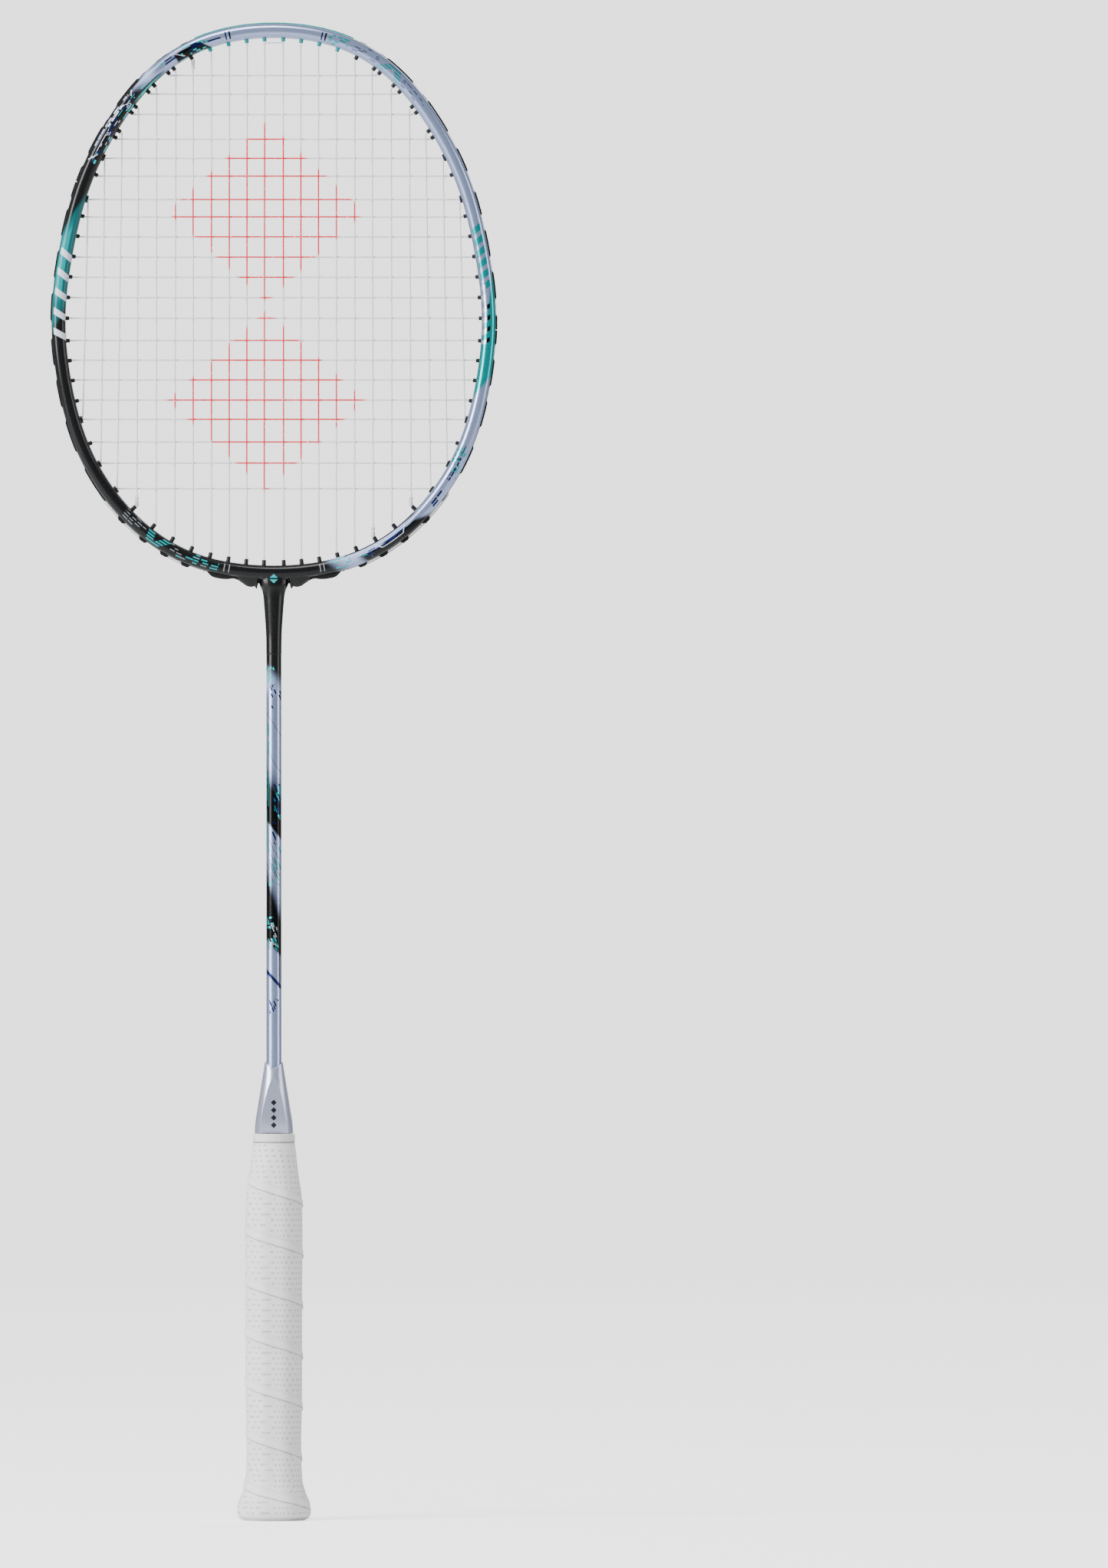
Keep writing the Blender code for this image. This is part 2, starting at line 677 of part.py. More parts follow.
def build_core(wood):
    half = HANDLE_HALF_X - GRIP_THICKNESS - GAP
    bore = CORE_BORE_RADIUS
    rings = [handle_ring(END_CAP["half_x"] - GAP, CORE_FOOT_Z), handle_ring(half + FLARE_EXTRA, CORE_FLARE_FOOT_Z),
             handle_ring(half, CORE_FLARE_Z)]
    rings += taper_rings(half, CORE_TOP_RADIUS)
    rings += [handle_ring(CORE_TOP_RADIUS, CORE_TOP_Z, 1.0), handle_ring(bore, CORE_TOP_Z, 1.0),
              handle_ring(bore, CORE_BORE_FOOT_Z, 1.0)]
    core = from_rings("handle_core", rings)
    socket = from_rings("core_socket", [round_ring(CAP_TENON["radius"] + GAP, CORE_FOOT_Z - MM),
                                        round_ring(CAP_TENON["radius"] + GAP,
                                                   CORE_FOOT_Z + CAP_TENON["height"] + GAP)])
    combine(core, socket, 'DIFFERENCE')
    return finish(core, wood)


def build_end_cap(plastic, badge_plastic):
    top = END_CAP["thickness"]
    rim = END_CAP["rim"]
    half = END_CAP["half_x"]
    cap = from_rings("end_cap", [handle_ring(half - rim, 0.0), handle_ring(half, rim), handle_ring(half, top)])
    tenon = from_rings("cap_tenon", [round_ring(CAP_TENON["radius"], top - MM),
                                     round_ring(CAP_TENON["radius"], CORE_FOOT_Z + CAP_TENON["height"])])
    combine(cap, tenon, 'UNION')
    recess_top = BADGE["thickness"] + BADGE["sunk"] + GAP
    recess = from_rings("badge_recess", [round_ring(BADGE["radius"] + GAP, -MM),
                                         round_ring(BADGE["radius"] + GAP, recess_top)])
    combine(cap, recess, 'DIFFERENCE')
    badge = from_rings("end_badge", [round_ring(BADGE["radius"], recess_top - GAP - BADGE["thickness"]),
                                     round_ring(BADGE["radius"], recess_top - GAP)])
    finish(badge, badge_plastic)
    return finish(cap, plastic)


def build_band(vinyl):
    corners = (("radius", "foot_z"), ("radius", "top_z"), ("bore", "top_z"), ("bore", "foot_z"))
    rings = [handle_ring(BAND[radius], BAND[z], 1.0) for radius, z in corners]
    return finish(from_rings("collar_band", rings, closed=True), vinyl)


def build_cone(plastic):
    rings = []
    for z, radius in CONE:
        roundness = (z - CONE[0][0]) / (CONE[-1][0] - CONE[0][0])
        rings.append(handle_ring(radius, z, roundness))
    bore = CONE_BORE_RADIUS
    pocket = CONE_POCKET["radius"]
    rings += [handle_ring(bore, CONE[-1][0], 1.0), handle_ring(bore, CONE_POCKET["top_z"], 1.0),
              handle_ring(pocket, CONE_POCKET["top_z"] - MM, 1.0), handle_ring(pocket, CONE[0][0], 1.0)]
    return finish(from_rings("cone_cap", rings, closed=True), plastic)


def clear_scene():
    for thing in list(bpy.data.objects):
        bpy.data.objects.remove(thing)


def main():
    clear_scene()
    black = material("black_lacquer", (0.010, 0.012, 0.014), 0.22)
    lavender = material("lavender_lacquer", (0.42, 0.44, 0.58), 0.3, 0.35)
    teal_nylon = material("teal_nylon", (0.0, 0.32, 0.32), 0.45)
    black_nylon = material("black_nylon", (0.015, 0.015, 0.016), 0.5)
    clear_nylon = material("clear_nylon", (0.72, 0.72, 0.74), 0.35)
    string_nylon = material("string_nylon", (0.80, 0.80, 0.82), 0.35)
    white_tape = material("white_tape", (0.78, 0.78, 0.79), 0.6)
    band_vinyl = material("band_vinyl", (0.72, 0.72, 0.73), 0.5)
    wood = material("handle_wood", (0.50, 0.36, 0.20), 0.7)
    plastic = material("end_plastic", (0.70, 0.70, 0.72), 0.45)
    build_hoop(black)
    build_t_joint(material("joint_lacquer", (0.010, 0.012, 0.014), 0.22))
    build_shaft(lavender)
    build_cone(material("cone_plastic", (0.50, 0.51, 0.64), 0.35, 0.2))
    build_core(wood)
    build_end_cap(plastic, material("badge_plastic", (0.05, 0.35, 0.36), 0.35))
    build_grip(white_tape)
    build_band(band_vinyl)
    build_grommets(teal_nylon, black_nylon)
    build_main_string(string_nylon)
    build_cross_string(string_nylon)
    build_ties(clear_nylon, string_nylon)


main()
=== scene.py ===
"""Badminton racket, seen from the front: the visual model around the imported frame.

Metres, +Z along the shaft to the head, +X across the head, -Y towards the front face. The paint
runs on two coordinates that each painted piece carries: how far along it a point lies, and how
far across. On the hoop, "along" is the length of outline from the crown, positive to the right.
"""
import math

import bmesh
import bpy
import numpy as np
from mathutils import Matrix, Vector


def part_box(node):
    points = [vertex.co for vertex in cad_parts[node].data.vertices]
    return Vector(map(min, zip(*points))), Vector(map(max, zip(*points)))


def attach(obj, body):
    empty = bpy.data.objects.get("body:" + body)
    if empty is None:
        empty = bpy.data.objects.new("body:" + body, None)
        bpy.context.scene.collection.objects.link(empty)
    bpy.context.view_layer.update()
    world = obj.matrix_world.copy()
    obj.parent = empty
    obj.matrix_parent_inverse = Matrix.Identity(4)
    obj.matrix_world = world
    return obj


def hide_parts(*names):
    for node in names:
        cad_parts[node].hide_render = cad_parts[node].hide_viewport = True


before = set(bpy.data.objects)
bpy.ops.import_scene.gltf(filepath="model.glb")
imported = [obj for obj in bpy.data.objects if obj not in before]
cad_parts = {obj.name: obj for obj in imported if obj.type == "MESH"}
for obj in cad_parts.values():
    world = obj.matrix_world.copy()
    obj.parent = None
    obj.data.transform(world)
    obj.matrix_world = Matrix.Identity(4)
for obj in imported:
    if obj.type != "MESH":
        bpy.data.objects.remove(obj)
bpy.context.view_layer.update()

MM = 0.001
TAU = 2 * math.pi

# ---- head outline: distance from the head's centre, at equal angles from the top to the throat
HEAD_CENTRE_Z = 545.0 * MM
HEAD_RADII = [r * MM for r in (130.3, 128.0, 118.0, 108.0, 101.5, 100.5, 103.0, 109.5, 116.5, 121.0, 121.0)]

# ---- hoop tube, measured outwards (u) from the outline and along Y (v)
TUBE_OUTER_U = -0.2 * MM
TUBE_WIDTH = 6.6 * MM
TUBE_HALF_DEPTH = 5.1 * MM
TUBE_ROUNDNESS = 2.5
GROOVE_HALF_WIDTH = 1.9 * MM
GROOVE_FLOOR_U = -2.1 * MM
GROOVE_LIP = 0.18 * MM
JOINT_HALF_WIDTH = 16.2 * MM
JOINT_GAP = 0.15 * MM

# ---- strings and their seats
STRING_RADIUS = 0.37 * MM
STRING_SIDES = 8
MAIN_TOP_X = [x * MM for x in (4.15, 12.1, 20.1, 28.2, 36.5, 44.7, 52.9, 61.2, 69.3, 76.8, 84.3)]
MAIN_FOOT_X = [x * MM for x in (4.4, 12.3, 20.2, 28.2, 36.4, 44.8, 53.2, 61.9, 70.9, 78.4, 86.5)]
CROSS_TOP_Z = 651.9 * MM
CROSS_GAPS = [g * MM for g in (8.7, 9.1, 10.0, 8.9, 9.0, 9.0, 9.4, 9.0, 9.1, 9.1,
                               9.2, 9.3, 10.0, 8.9, 8.9, 9.1, 9.6, 9.3, 10.1, 11.2)]
SHARED_HOLES = {("main", 9, "top"): 4, ("main", 10, "top"): 6,
                ("main", 10, "foot"): 17, ("main", 9, "foot"): 19, ("main", 8, "foot"): 20}
SHARED_EXTRA = 0.5 * MM
SHARED_PROUD = 0.6 * MM
SHARED_LIP = 0.3 * MM
SHARED_BEND_U = TUBE_OUTER_U - TUBE_WIDTH - SHARED_PROUD - 0.3 * MM
MAIN_V = -0.5 * MM
CROSS_V = 0.5 * MM
WEAVE = 0.34 * MM
WEAVE_STEPS = 6
NEAR_END = 0.004
RUN_U = -0.65 * MM
RUN_STEP = 2.2 * MM
BRIDGE_U = 0.42 * MM
BRIDGE_MAINS = (4, 8)
BRIDGE_MARGIN = 0.02
LOOP_PROUD = 0.34 * MM
LOOP_OVERHANG = 1.6 * MM
BEND_CLEARANCE = 0.55 * MM
SEAT_SPACING = 3.4 * MM
TIES = {"crown": ("top", 4, -1), "right": ("foot", 7, 1), "left": ("foot", 7, -1), "foot": ("foot", 5, 1)}
SLEEVE = [(a * MM, r * MM) for a, r in (
    (-0.6, 0.86), (1.9, 0.86), (2.05, 0.78), (2.05, 0.55), (1.9, 0.46), (-0.6, 0.46))]
KNOT = {"from": 2.6 * MM, "pitch": 0.62 * MM, "turns": 2.25, "reach": 0.66 * MM, "radius": 0.31 * MM}

# ---- grommets; a barrel's height inside the tube goes by the degrees from the top, and a block has
# a half length and a height
BARREL_PROUD = ((45, 1.6 * MM), (135, 1.4 * MM), (181, 2.2 * MM))
BARREL_SIDES = 14
BARREL_ROOT_U = -5.9 * MM
BARREL_RADII = (0.98 * MM, 0.48 * MM)
BARREL_MOUTH = [(up * MM, r * MM) for up, r in (
    (0.35, 0.94), (0.1, 0.9), (0.0, 0.78), (0.02, 0.54), (0.6, 0.48))]
STRIP_FLOOR_U = -1.8 * MM
STRIP_CHANNEL_U = -1.2 * MM
STRIP_HALF_WIDTH = 1.6 * MM
STRIP_CHANNEL_HALF = 0.95 * MM
STRIP_EDGE = 0.22 * MM
STRIP_PROUD = {"crown": 0.2 * MM, "side": -0.2 * MM}
STRIP_GAP_ANGLE = 0.002
BLOCKS = {"crown": (1.4 * MM, 0.25 * MM), "side": (2.0 * MM, 0.0), "bridge": (2.3 * MM, 0.95 * MM)}
BLOCK_EASE = 0.9 * MM
THROAT_GUARD = [(x * MM, u * MM) for x, u in (
    (6.7, -2.0), (7.1, 2.2), (8.6, 3.1), (10.4, 3.5), (12.2, 3.1), (14.2, 2.0), (16.4, 0.9),
    (18.4, 0.6), (20.6, 1.2), (24.2, 1.6), (28.0, 1.3), (31.6, -1.2))]
GUARD_HALF_DEPTH = 3.5 * MM
GUARD_MIDDLE_U = -3.0 * MM

# ---- neck of the T-joint, shaft and cone: height and half widths
NECK = [(z * MM, hx * MM, hy * MM) for z, hx, hy in (
    (429.0, 5.6, 4.2), (424.0, 6.7, 4.9), (421.4, 6.3, 4.9), (419.7, 5.5, 4.7), (417.2, 4.9, 4.5),
    (413.0, 4.5, 4.3), (408.3, 4.15, 4.05), (399.4, 3.6, 3.6), (391.3, 3.5, 3.5), (390.2, 3.5, 3.5))]
SHAFT_RADIUS = 3.4 * MM
SHAFT_WALL = 1.0 * MM
CONE = [(z * MM, r * MM) for z, r in ((174.5, 8.7), (178.0, 8.5), (188.9, 6.9), (200.0, 5.1), (206.6, 4.05))]
CONE_FACET = {"top_z": 199.6 * MM, "foot_half": 6.5 * MM, "scallop": 2.9 * MM,
              "least_half": 0.03 * MM, "bore": 3.45 * MM}

# ---- handle
HANDLE_HALF_X = 12.75 * MM
HANDLE_HALF_Y = 11.5 * MM
CORNER_CUT = 0.6
GRIP = [(z * MM, hx * MM) for z, hx in (
    (0.0, 13.6), (0.9, 15.2), (2.6, 16.3), (5.2, 16.4), (8.4, 15.9), (12.5, 14.3), (17.4, 12.9),
    (21.0, 12.65), (60.0, 12.7), (100.0, 12.7), (140.0, 12.7), (146.0, 12.5), (155.0, 11.3), (170.1, 9.45))]
GRIP_BORE = [(z * MM, hx * MM) for z, hx in (
    (170.1, 8.45), (150.0, 10.6), (140.0, 10.85), (20.0, 10.85), (5.6, 13.8), (4.5, 12.9), (0.0, 12.9))]
GRIP_SIDES = 160
GRIP_ROUND_Z = (148.0 * MM, 166.0 * MM)
CORNER_SPREAD = math.radians(13.0)
SEAM_PITCH = 22.9 * MM
SEAM_RIGHT_Z = 27.1 * MM
SEAM_RISE = 0.75 * MM
SEAM_BAND = 2.6 * MM
SEAM_EDGE = 0.5 * MM
SEAM_FADES = ((168.0 * MM, 160.0 * MM), (6.0 * MM, 11.0 * MM))
BAND = {"foot_z": 170.2 * MM, "top_z": 174.3 * MM, "radius": 9.5 * MM, "bore": 8.6 * MM}
END_CAP = [(z * MM, half * MM) for z, half in (
    (0.9, 6.5), (0.35, 7.0), (0.15, 9.0), (0.0, 11.6), (0.15, 12.2), (0.6, 12.55), (4.0, 12.55))]
END_FACE_HALF = 10.0 * MM
END_BADGE = [(z * MM, r * MM) for z, r in ((0.75, 3.0), (0.55, 5.0), (0.5, 5.9), (0.65, 6.15), (1.4, 6.2))]

# ---- stage: strengths of light, and the camera
FLOOR = {"half": 5.0, "solid": 0.6, "clear": 4.5, "glow": 1.5}
SEEN_WHITE = 2.3
WORLD_LIGHT = 0.30
LIGHTS = (
    ("key", (-2.8, -1.9, 1.5), 2.0, 2.6, 250.0),
    ("fill", (3.2, -0.9, 1.0), 1.6, 2.4, 45.0),
    ("crown", (-0.6, -0.8, 3.2), 2.0, 1.2, 90.0),
    ("back", (0.8, 3.6, 1.6), 2.4, 2.4, 70.0),
)
LIGHTS_AIM = (0.0, 0.0, 0.4)
CAMERA = {"place": (0.1264, -8.0, 0.332), "seen_height": 0.7073, "sensor": 36.0}


# ---------------------------------------------------------------- outline of the head
def series_terms(radii):
    """Cosine terms whose sum passes through the radii."""
    last = len(radii) - 1
    terms = []
    for order in range(last + 1):
        total = 0.0
        for index, radius in enumerate(radii):
            weight = 0.5 if index in (0, last) else 1.0
            total += weight * radius * math.cos(math.pi * order * index / last)
        terms.append(total * (1.0 if order in (0, last) else 2.0) / last)
    return terms


TERMS = series_terms(HEAD_RADII)


def head_point(phi, u=0.0):
    """(x, z) at angle phi from the head's top, moved outwards by u along the normal."""
    radius = sum(term * math.cos(order * phi) for order, term in enumerate(TERMS))
    slope = -sum(order * term * math.sin(order * phi) for order, term in enumerate(TERMS))
    sin, cos = math.sin(phi), math.cos(phi)
    tangent_x = slope * sin + radius * cos
    tangent_z = slope * cos - radius * sin
    length = math.hypot(tangent_x, tangent_z)
    return (radius * sin - u * tangent_z / length,
            HEAD_CENTRE_Z + radius * cos + u * tangent_x / length)


def travelled(points):
    """Length along a path of points, up to each of them."""
    lengths = np.linalg.norm(np.diff(np.array(points), axis=0), axis=1)
    return np.concatenate([[0.0], np.cumsum(lengths)])


OUTLINE_PHIS = np.linspace(0.0, math.pi, 1441)
OUTLINE_LENGTHS = travelled([head_point(phi) for phi in OUTLINE_PHIS])


def length_at(phi):
    """Signed length of outline from the top to angle phi."""
    return math.copysign(float(np.interp(abs(phi), OUTLINE_PHIS, OUTLINE_LENGTHS)), phi)


def phi_at_length(length):
    return math.copysign(float(np.interp(abs(length), OUTLINE_LENGTHS, OUTLINE_PHIS)), length)


def solve(function, low, high):
    """The angle between low and high at which function is zero."""
    rising = function(high) > 0.0
    for _ in range(50):
        middle = (low + high) / 2
        if (function(middle) > 0.0) == rising:
            high = middle
        else:
            low = middle
    return (low + high) / 2


def phi_at_foot(x):
    """Angle of the outline's point at x, beside the throat."""
    return solve(lambda phi: head_point(phi)[0] - x, math.radians(100), math.pi)


def steps(low, high, count):
    return [low + (high - low) * index / count for index in range(count + 1)]


def circle(count):
    """(cos, sin) at equal turns round a circle."""
    return [(math.cos(turn), math.sin(turn)) for turn in steps(0.0, TAU, count)[:-1]]


def share_of(value, start, end):
    """0 at start, 1 at end, in proportion between and the same beyond."""
    return min(1.0, max(0.0, (value - start) / (end - start)))


# ---------------------------------------------------------------- where the strings are seated
def barrel_proud(phi):
    return next(proud for limit, proud in BARREL_PROUD if math.degrees(abs(phi)) < limit)


def bend_u(phi):
    """Where a string leaves its barrel and turns into the bed."""
    return TUBE_OUTER_U - TUBE_WIDTH - barrel_proud(phi) - BEND_CLEARANCE


def mouth_u(seat):
    """Where a seat's barrel ends."""
    proud = SHARED_PROUD + SHARED_LIP if seat["extra"] else barrel_proud(seat["phi"])
    return TUBE_OUTER_U - TUBE_WIDTH - proud


def spread(seats):
    """Pushes neighbours apart along the hoop until their barrels have room."""
    for _ in range(40):
        seats.sort(key=lambda seat: seat["phi"])
        for first, second in zip(seats, seats[1:]):
            ax, az = head_point(first["phi"])
            bx, bz = head_point(second["phi"])
            short = SEAT_SPACING - math.hypot(bx - ax, bz - az)
            if short > 1e-6:
                turn = 0.5 * short / math.hypot(ax, az - HEAD_CENTRE_Z)
                first["phi"] -= turn
                second["phi"] += turn


def right_seats():
    """The seats on the +X half: one dictionary for each string end, the main of a shared hole last."""
    seats = []
    mains = {}
    for number, (top_x, foot_x) in enumerate(zip(MAIN_TOP_X, MAIN_FOOT_X)):
        for end, x, low, high in (("top", top_x, 0, 84), ("foot", foot_x, 98, 180)):
            shared = ("main", number, end) in SHARED_HOLES
            mains[number, end] = phi = solve(
                lambda phi: head_point(phi, SHARED_BEND_U if shared else bend_u(phi))[0] - x,
                math.radians(low), math.radians(high))
            if not shared:
                seats.append({"string": ("main", number), "end": end, "phi": phi, "v": MAIN_V,
                              "extra": 0.0, "bend": bend_u(phi)})
    partners = {cross: key[1:] for key, cross in SHARED_HOLES.items()}
    for number in CROSS_NUMBERS:
        z = CROSS_TOP_Z - sum(CROSS_GAPS[:number])
        shared = number in partners
        phi = solve(lambda phi: head_point(phi, SHARED_BEND_U if shared else bend_u(phi))[1] - z,
                    0.05, math.pi - 0.05)
        seat = {"string": ("cross", number), "end": "side", "phi": phi, "v": CROSS_V, "extra": 0.0}
        if shared:
            seat.update(phi=(phi + mains[partners[number]]) / 2, v=0.0, extra=SHARED_EXTRA)
        seat["bend"] = SHARED_BEND_U if shared else bend_u(seat["phi"])
        seats.append(seat)
    spread(seats)
    crosses = {seat["string"][1]: seat for seat in seats if seat["string"][0] == "cross"}
    for (_, number, end), cross in SHARED_HOLES.items():
        seats.append(dict(crosses[cross], string=("main", number), end=end))
    return seats


MAIN_INDEXES = range(-len(MAIN_TOP_X), len(MAIN_TOP_X))
CROSS_NUMBERS = range(len(CROSS_GAPS) + 1)
RIGHT_SEATS = right_seats()
RIGHT_HOLES = RIGHT_SEATS[:-len(SHARED_HOLES)]
HOLES = RIGHT_HOLES + [dict(seat, phi=-seat["phi"]) for seat in RIGHT_HOLES]
SEATS = {(*seat["string"], seat["end"]): seat for seat in RIGHT_SEATS}


def seat_phi(kind, number, end):
    return SEATS[kind, number, end]["phi"]


# ---------------------------------------------------------------- mesh helpers
def linked(name, data):
    """A new object with this data, in the scene."""
    made = bpy.data.objects.new(name, data)
    bpy.context.collection.objects.link(made)
    return made


class Builder:
    """Collects skins over rings of points into one mesh."""

    def __init__(self):
        self.points = []
        self.faces = []
        self.fields = {}

    def skin(self, rings, closed=False, **fields):
        """Joins rings of equal size, and caps the ends or closes them to a loop."""
        first, count, size = len(self.points), len(rings), len(rings[0])
        for ring in range(count if closed else count - 1):
            low = first + ring * size
            high = first + (ring + 1) % count * size
            for index in range(size):
                after = (index + 1) % size
                self.faces.append((low + index, low + after, high + after, high + index))
        if not closed:
            self.faces.append(tuple(range(first, first + size)))
            self.faces.append(tuple(range(first + (count - 1) * size, first + count * size)))
        for ring in rings:
            self.points += [tuple(point) for point in ring]
        for label, values in fields.items():
            self.fields.setdefault(label, []).extend(np.broadcast_to(values, (count, size)).ravel())

    def make(self, name, smooth_degrees=35.0):
        """An object with one float attribute for each field."""
        mesh = bpy.data.meshes.new(name)
        mesh.from_pydata(self.points, [], self.faces)
        for label, values in self.fields.items():
            layer = mesh.attributes.new(label, 'FLOAT', 'POINT')
            layer.data.foreach_set("value", np.array(values, dtype=np.float32))
        shape = bmesh.new()
        shape.from_mesh(mesh)
        bmesh.ops.recalc_face_normals(shape, faces=shape.faces)
        shape.to_mesh(mesh)
        shape.free()
        mesh.shade_smooth()
        mesh.set_sharp_from_angle(angle=math.radians(smooth_degrees))
        return linked(name, mesh)


def loft(name, rings, closed=False, smooth_degrees=35.0, **fields):
    builder = Builder()
    builder.skin(rings, closed, **fields)
    return builder.make(name, smooth_degrees)


def sweep_rings(section, phis):
    """Rings of a section of (u, v) points along the outline; section may depend on phi."""
    rings = []
    for phi in phis:
        places = [(head_point(phi, u), v) for u, v in (section(phi) if callable(section) else section)]
        rings.append([(x, v, z) for (x, z), v in places])
    return rings


def tube_rings(path, radius, sides):
    """Rings of a round tube along a path of 3-D points that never runs along Y."""
    points = np.array(path)
    ahead = np.diff(points, axis=0)
    ahead /= np.linalg.norm(ahead, axis=1)[:, None]
    tangents = np.vstack([ahead[:1], ahead[:-1] + ahead[1:], ahead[-1:]])
    tangents /= np.linalg.norm(tangents, axis=1)[:, None]
    side = np.cross(tangents, (0.0, 1.0, 0.0))
    side /= np.linalg.norm(side, axis=1)[:, None]
    up = np.cross(side, tangents)
    turns = TAU * (np.arange(sides) + 0.5) / sides
    return (points[:, None] + radius * (np.cos(turns)[None, :, None] * side[:, None]
                                        + np.sin(turns)[None, :, None] * up[:, None]))


def settle(piece, finish, slot, *nodes):
    """Gives a piece its finish, hangs it on the frame and lets it stand for CAD nodes."""
    piece.data.materials.clear()
    piece.data.materials.append(finish)
    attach(piece, "root")
    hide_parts(*nodes)
    return piece


# ---------------------------------------------------------------- node helpers
def math_node(operation, swapped=False):
    """A method that puts a field, and what it meets, through one math node."""
    def method(field, *others):
        values = (*others, field) if swapped else (field, *others)
        return field.paint.math(operation, *values)
    return method


class Field:
    """A shader value that adds, multiplies and compares like a number."""

    def __init__(self, paint, socket):
        self.paint = paint
        self.socket = socket

    __add__ = math_node('ADD')
    __sub__ = math_node('SUBTRACT')
    __rsub__ = math_node('SUBTRACT', swapped=True)
    __mul__ = math_node('MULTIPLY')
    __truediv__ = math_node('DIVIDE')
    __gt__ = math_node('GREATER_THAN')
    __lt__ = math_node('LESS_THAN')
    floor = math_node('FLOOR')
    fract = math_node('FRACT')
    size = math_node('ABSOLUTE')
    wave = math_node('SINE')
    root = math_node('SQRT')

    def ramp(self, low, high):
        """0 at low, 1 at high, eased between; low may be the greater."""
        inputs = {"Value": self, "From Min": min(low, high), "From Max": max(low, high),
                  "To Min": float(low > high), "To Max": float(low < high)}
        return self.paint.node('ShaderNodeMapRange', "Result", inputs, interpolation_type='SMOOTHSTEP')

    def between(self, low, high, soft):
        """1 between low and high, with eased edges that are soft wide."""
        half = soft / 2
        return self.ramp(low - half, low + half) * self.ramp(high + half, high - half)


SOCKETS = {"roughness": "Roughness", "metallic": "Metallic", "specular": "Specular IOR Level",
           "coat": "Coat Weight", "coat_roughness": "Coat Roughness", "subsurface": "Subsurface Weight",
           "subsurface_scale": "Subsurface Scale", "transmission": "Transmission Weight"}


class Paint:
    """One material, built up from fields."""

    def __init__(self, name, **constants):
        self.material = bpy.data.materials.new(name)
        self.material.use_nodes = True
        self.tree = self.material.node_tree
        self.shader = self.tree.nodes["Principled BSDF"]
        self.shader.inputs["Coat Roughness"].default_value = 0.05
        for label, value in constants.items():
            self.shader.inputs[SOCKETS[label]].default_value = value

    def put(self, socket, value):
        if isinstance(value, Field):
            self.tree.links.new(value.socket, socket)
        elif isinstance(value, tuple):
            socket.default_value = (*value, 1.0)
        else:
            socket.default_value = value

    def node(self, kind, output, inputs, **settings):
        """A field from one output of a new node with these inputs and settings."""
        made = self.tree.nodes.new(kind)
        for label, value in settings.items():
            setattr(made, label, value)
        for label, value in inputs.items():
            self.put(made.inputs[label], value)
        return Field(self, made.outputs[output])

    def math(self, operation, *values):
        return self.node('ShaderNodeMath', 0, dict(enumerate(values)), operation=operation)

    def attribute(self, name):
        return self.node('ShaderNodeAttribute', "Fac", {}, attribute_name=name)

    def place(self):
        """x, y and z of the point in the racket's own frame."""
        spot = self.node('ShaderNodeTexCoord', "Object", {})
        parts = self.node('ShaderNodeSeparateXYZ', 0, {0: spot}).socket.node
        return [Field(self, output) for output in parts.outputs]

    def vector(self, x, y, z):
        return self.node('ShaderNodeCombineXYZ', 0, {0: x, 1: y, 2: z})

    def chance(self, x, y, z):
        """A random number from 0 to 1 for each whole x, y and z."""
        return self.node('ShaderNodeTexWhiteNoise', "Value", {"Vector": self.vector(x, y, z)})

    def noise(self, x, y, z, scale, detail=2.0):
        inputs = {"Vector": self.vector(x, y, z), "Scale": scale, "Detail": detail}
        return self.node('ShaderNodeTexNoise', 0, inputs)

    def mix(self, share, low, high):
        return self.node('ShaderNodeMix', 2, {0: share, 6: low, 7: high}, data_type='RGBA')

    def colour(self, value):
        self.put(self.shader.inputs["Base Color"], value)

    def rough(self, value):
        self.put(self.shader.inputs["Roughness"], value)

    def bump(self, height, distance):
        raised = self.node('ShaderNodeBump', 0, {"Height": height, "Distance": distance})
        self.put(self.shader.inputs["Normal"], raised)


    def dashes(self, along, across, length, pitch, fill, density, seed):
        """1 on random dashes in lanes, each lane filled to a share of its pitch."""
        lane = across / pitch
        row = lane.floor()
        place = along / length + self.chance(row, seed, 0.5)
        cell = place.floor()
        chosen = self.chance(cell, row, seed) < density
        start = self.chance(cell, row, seed + 50.0) * 0.45
        inside = (place.fract() > start) * (place.fract() < 0.93)
        return chosen * inside * lane.fract().between(0.5 - fill / 2, 0.5 + fill / 2, 0.1)


# ---------------------------------------------------------------- finishes
BLACK = (0.0018, 0.0022, 0.0025)
LAVENDER = (0.34, 0.42, 0.66)
SILVER = (0.60, 0.65, 0.76)
TEAL = (0.0, 0.36, 0.38)
CYAN = (0.0, 0.46, 0.48)
# teal and cyan painted darker for the left half of the hoop, which faces the key light: shaded copies of TEAL
# and CYAN, painted shade
SHADED_TEAL = (0.0, 0.10, 0.108)
SHADED_CYAN = (0.0, 0.24, 0.26)
NAVY = (0.004, 0.009, 0.085)
GREY = (0.17, 0.19, 0.21)
LACQUER = {"coat": 0.2, "coat_roughness": 0.08, "specular": 0.2}

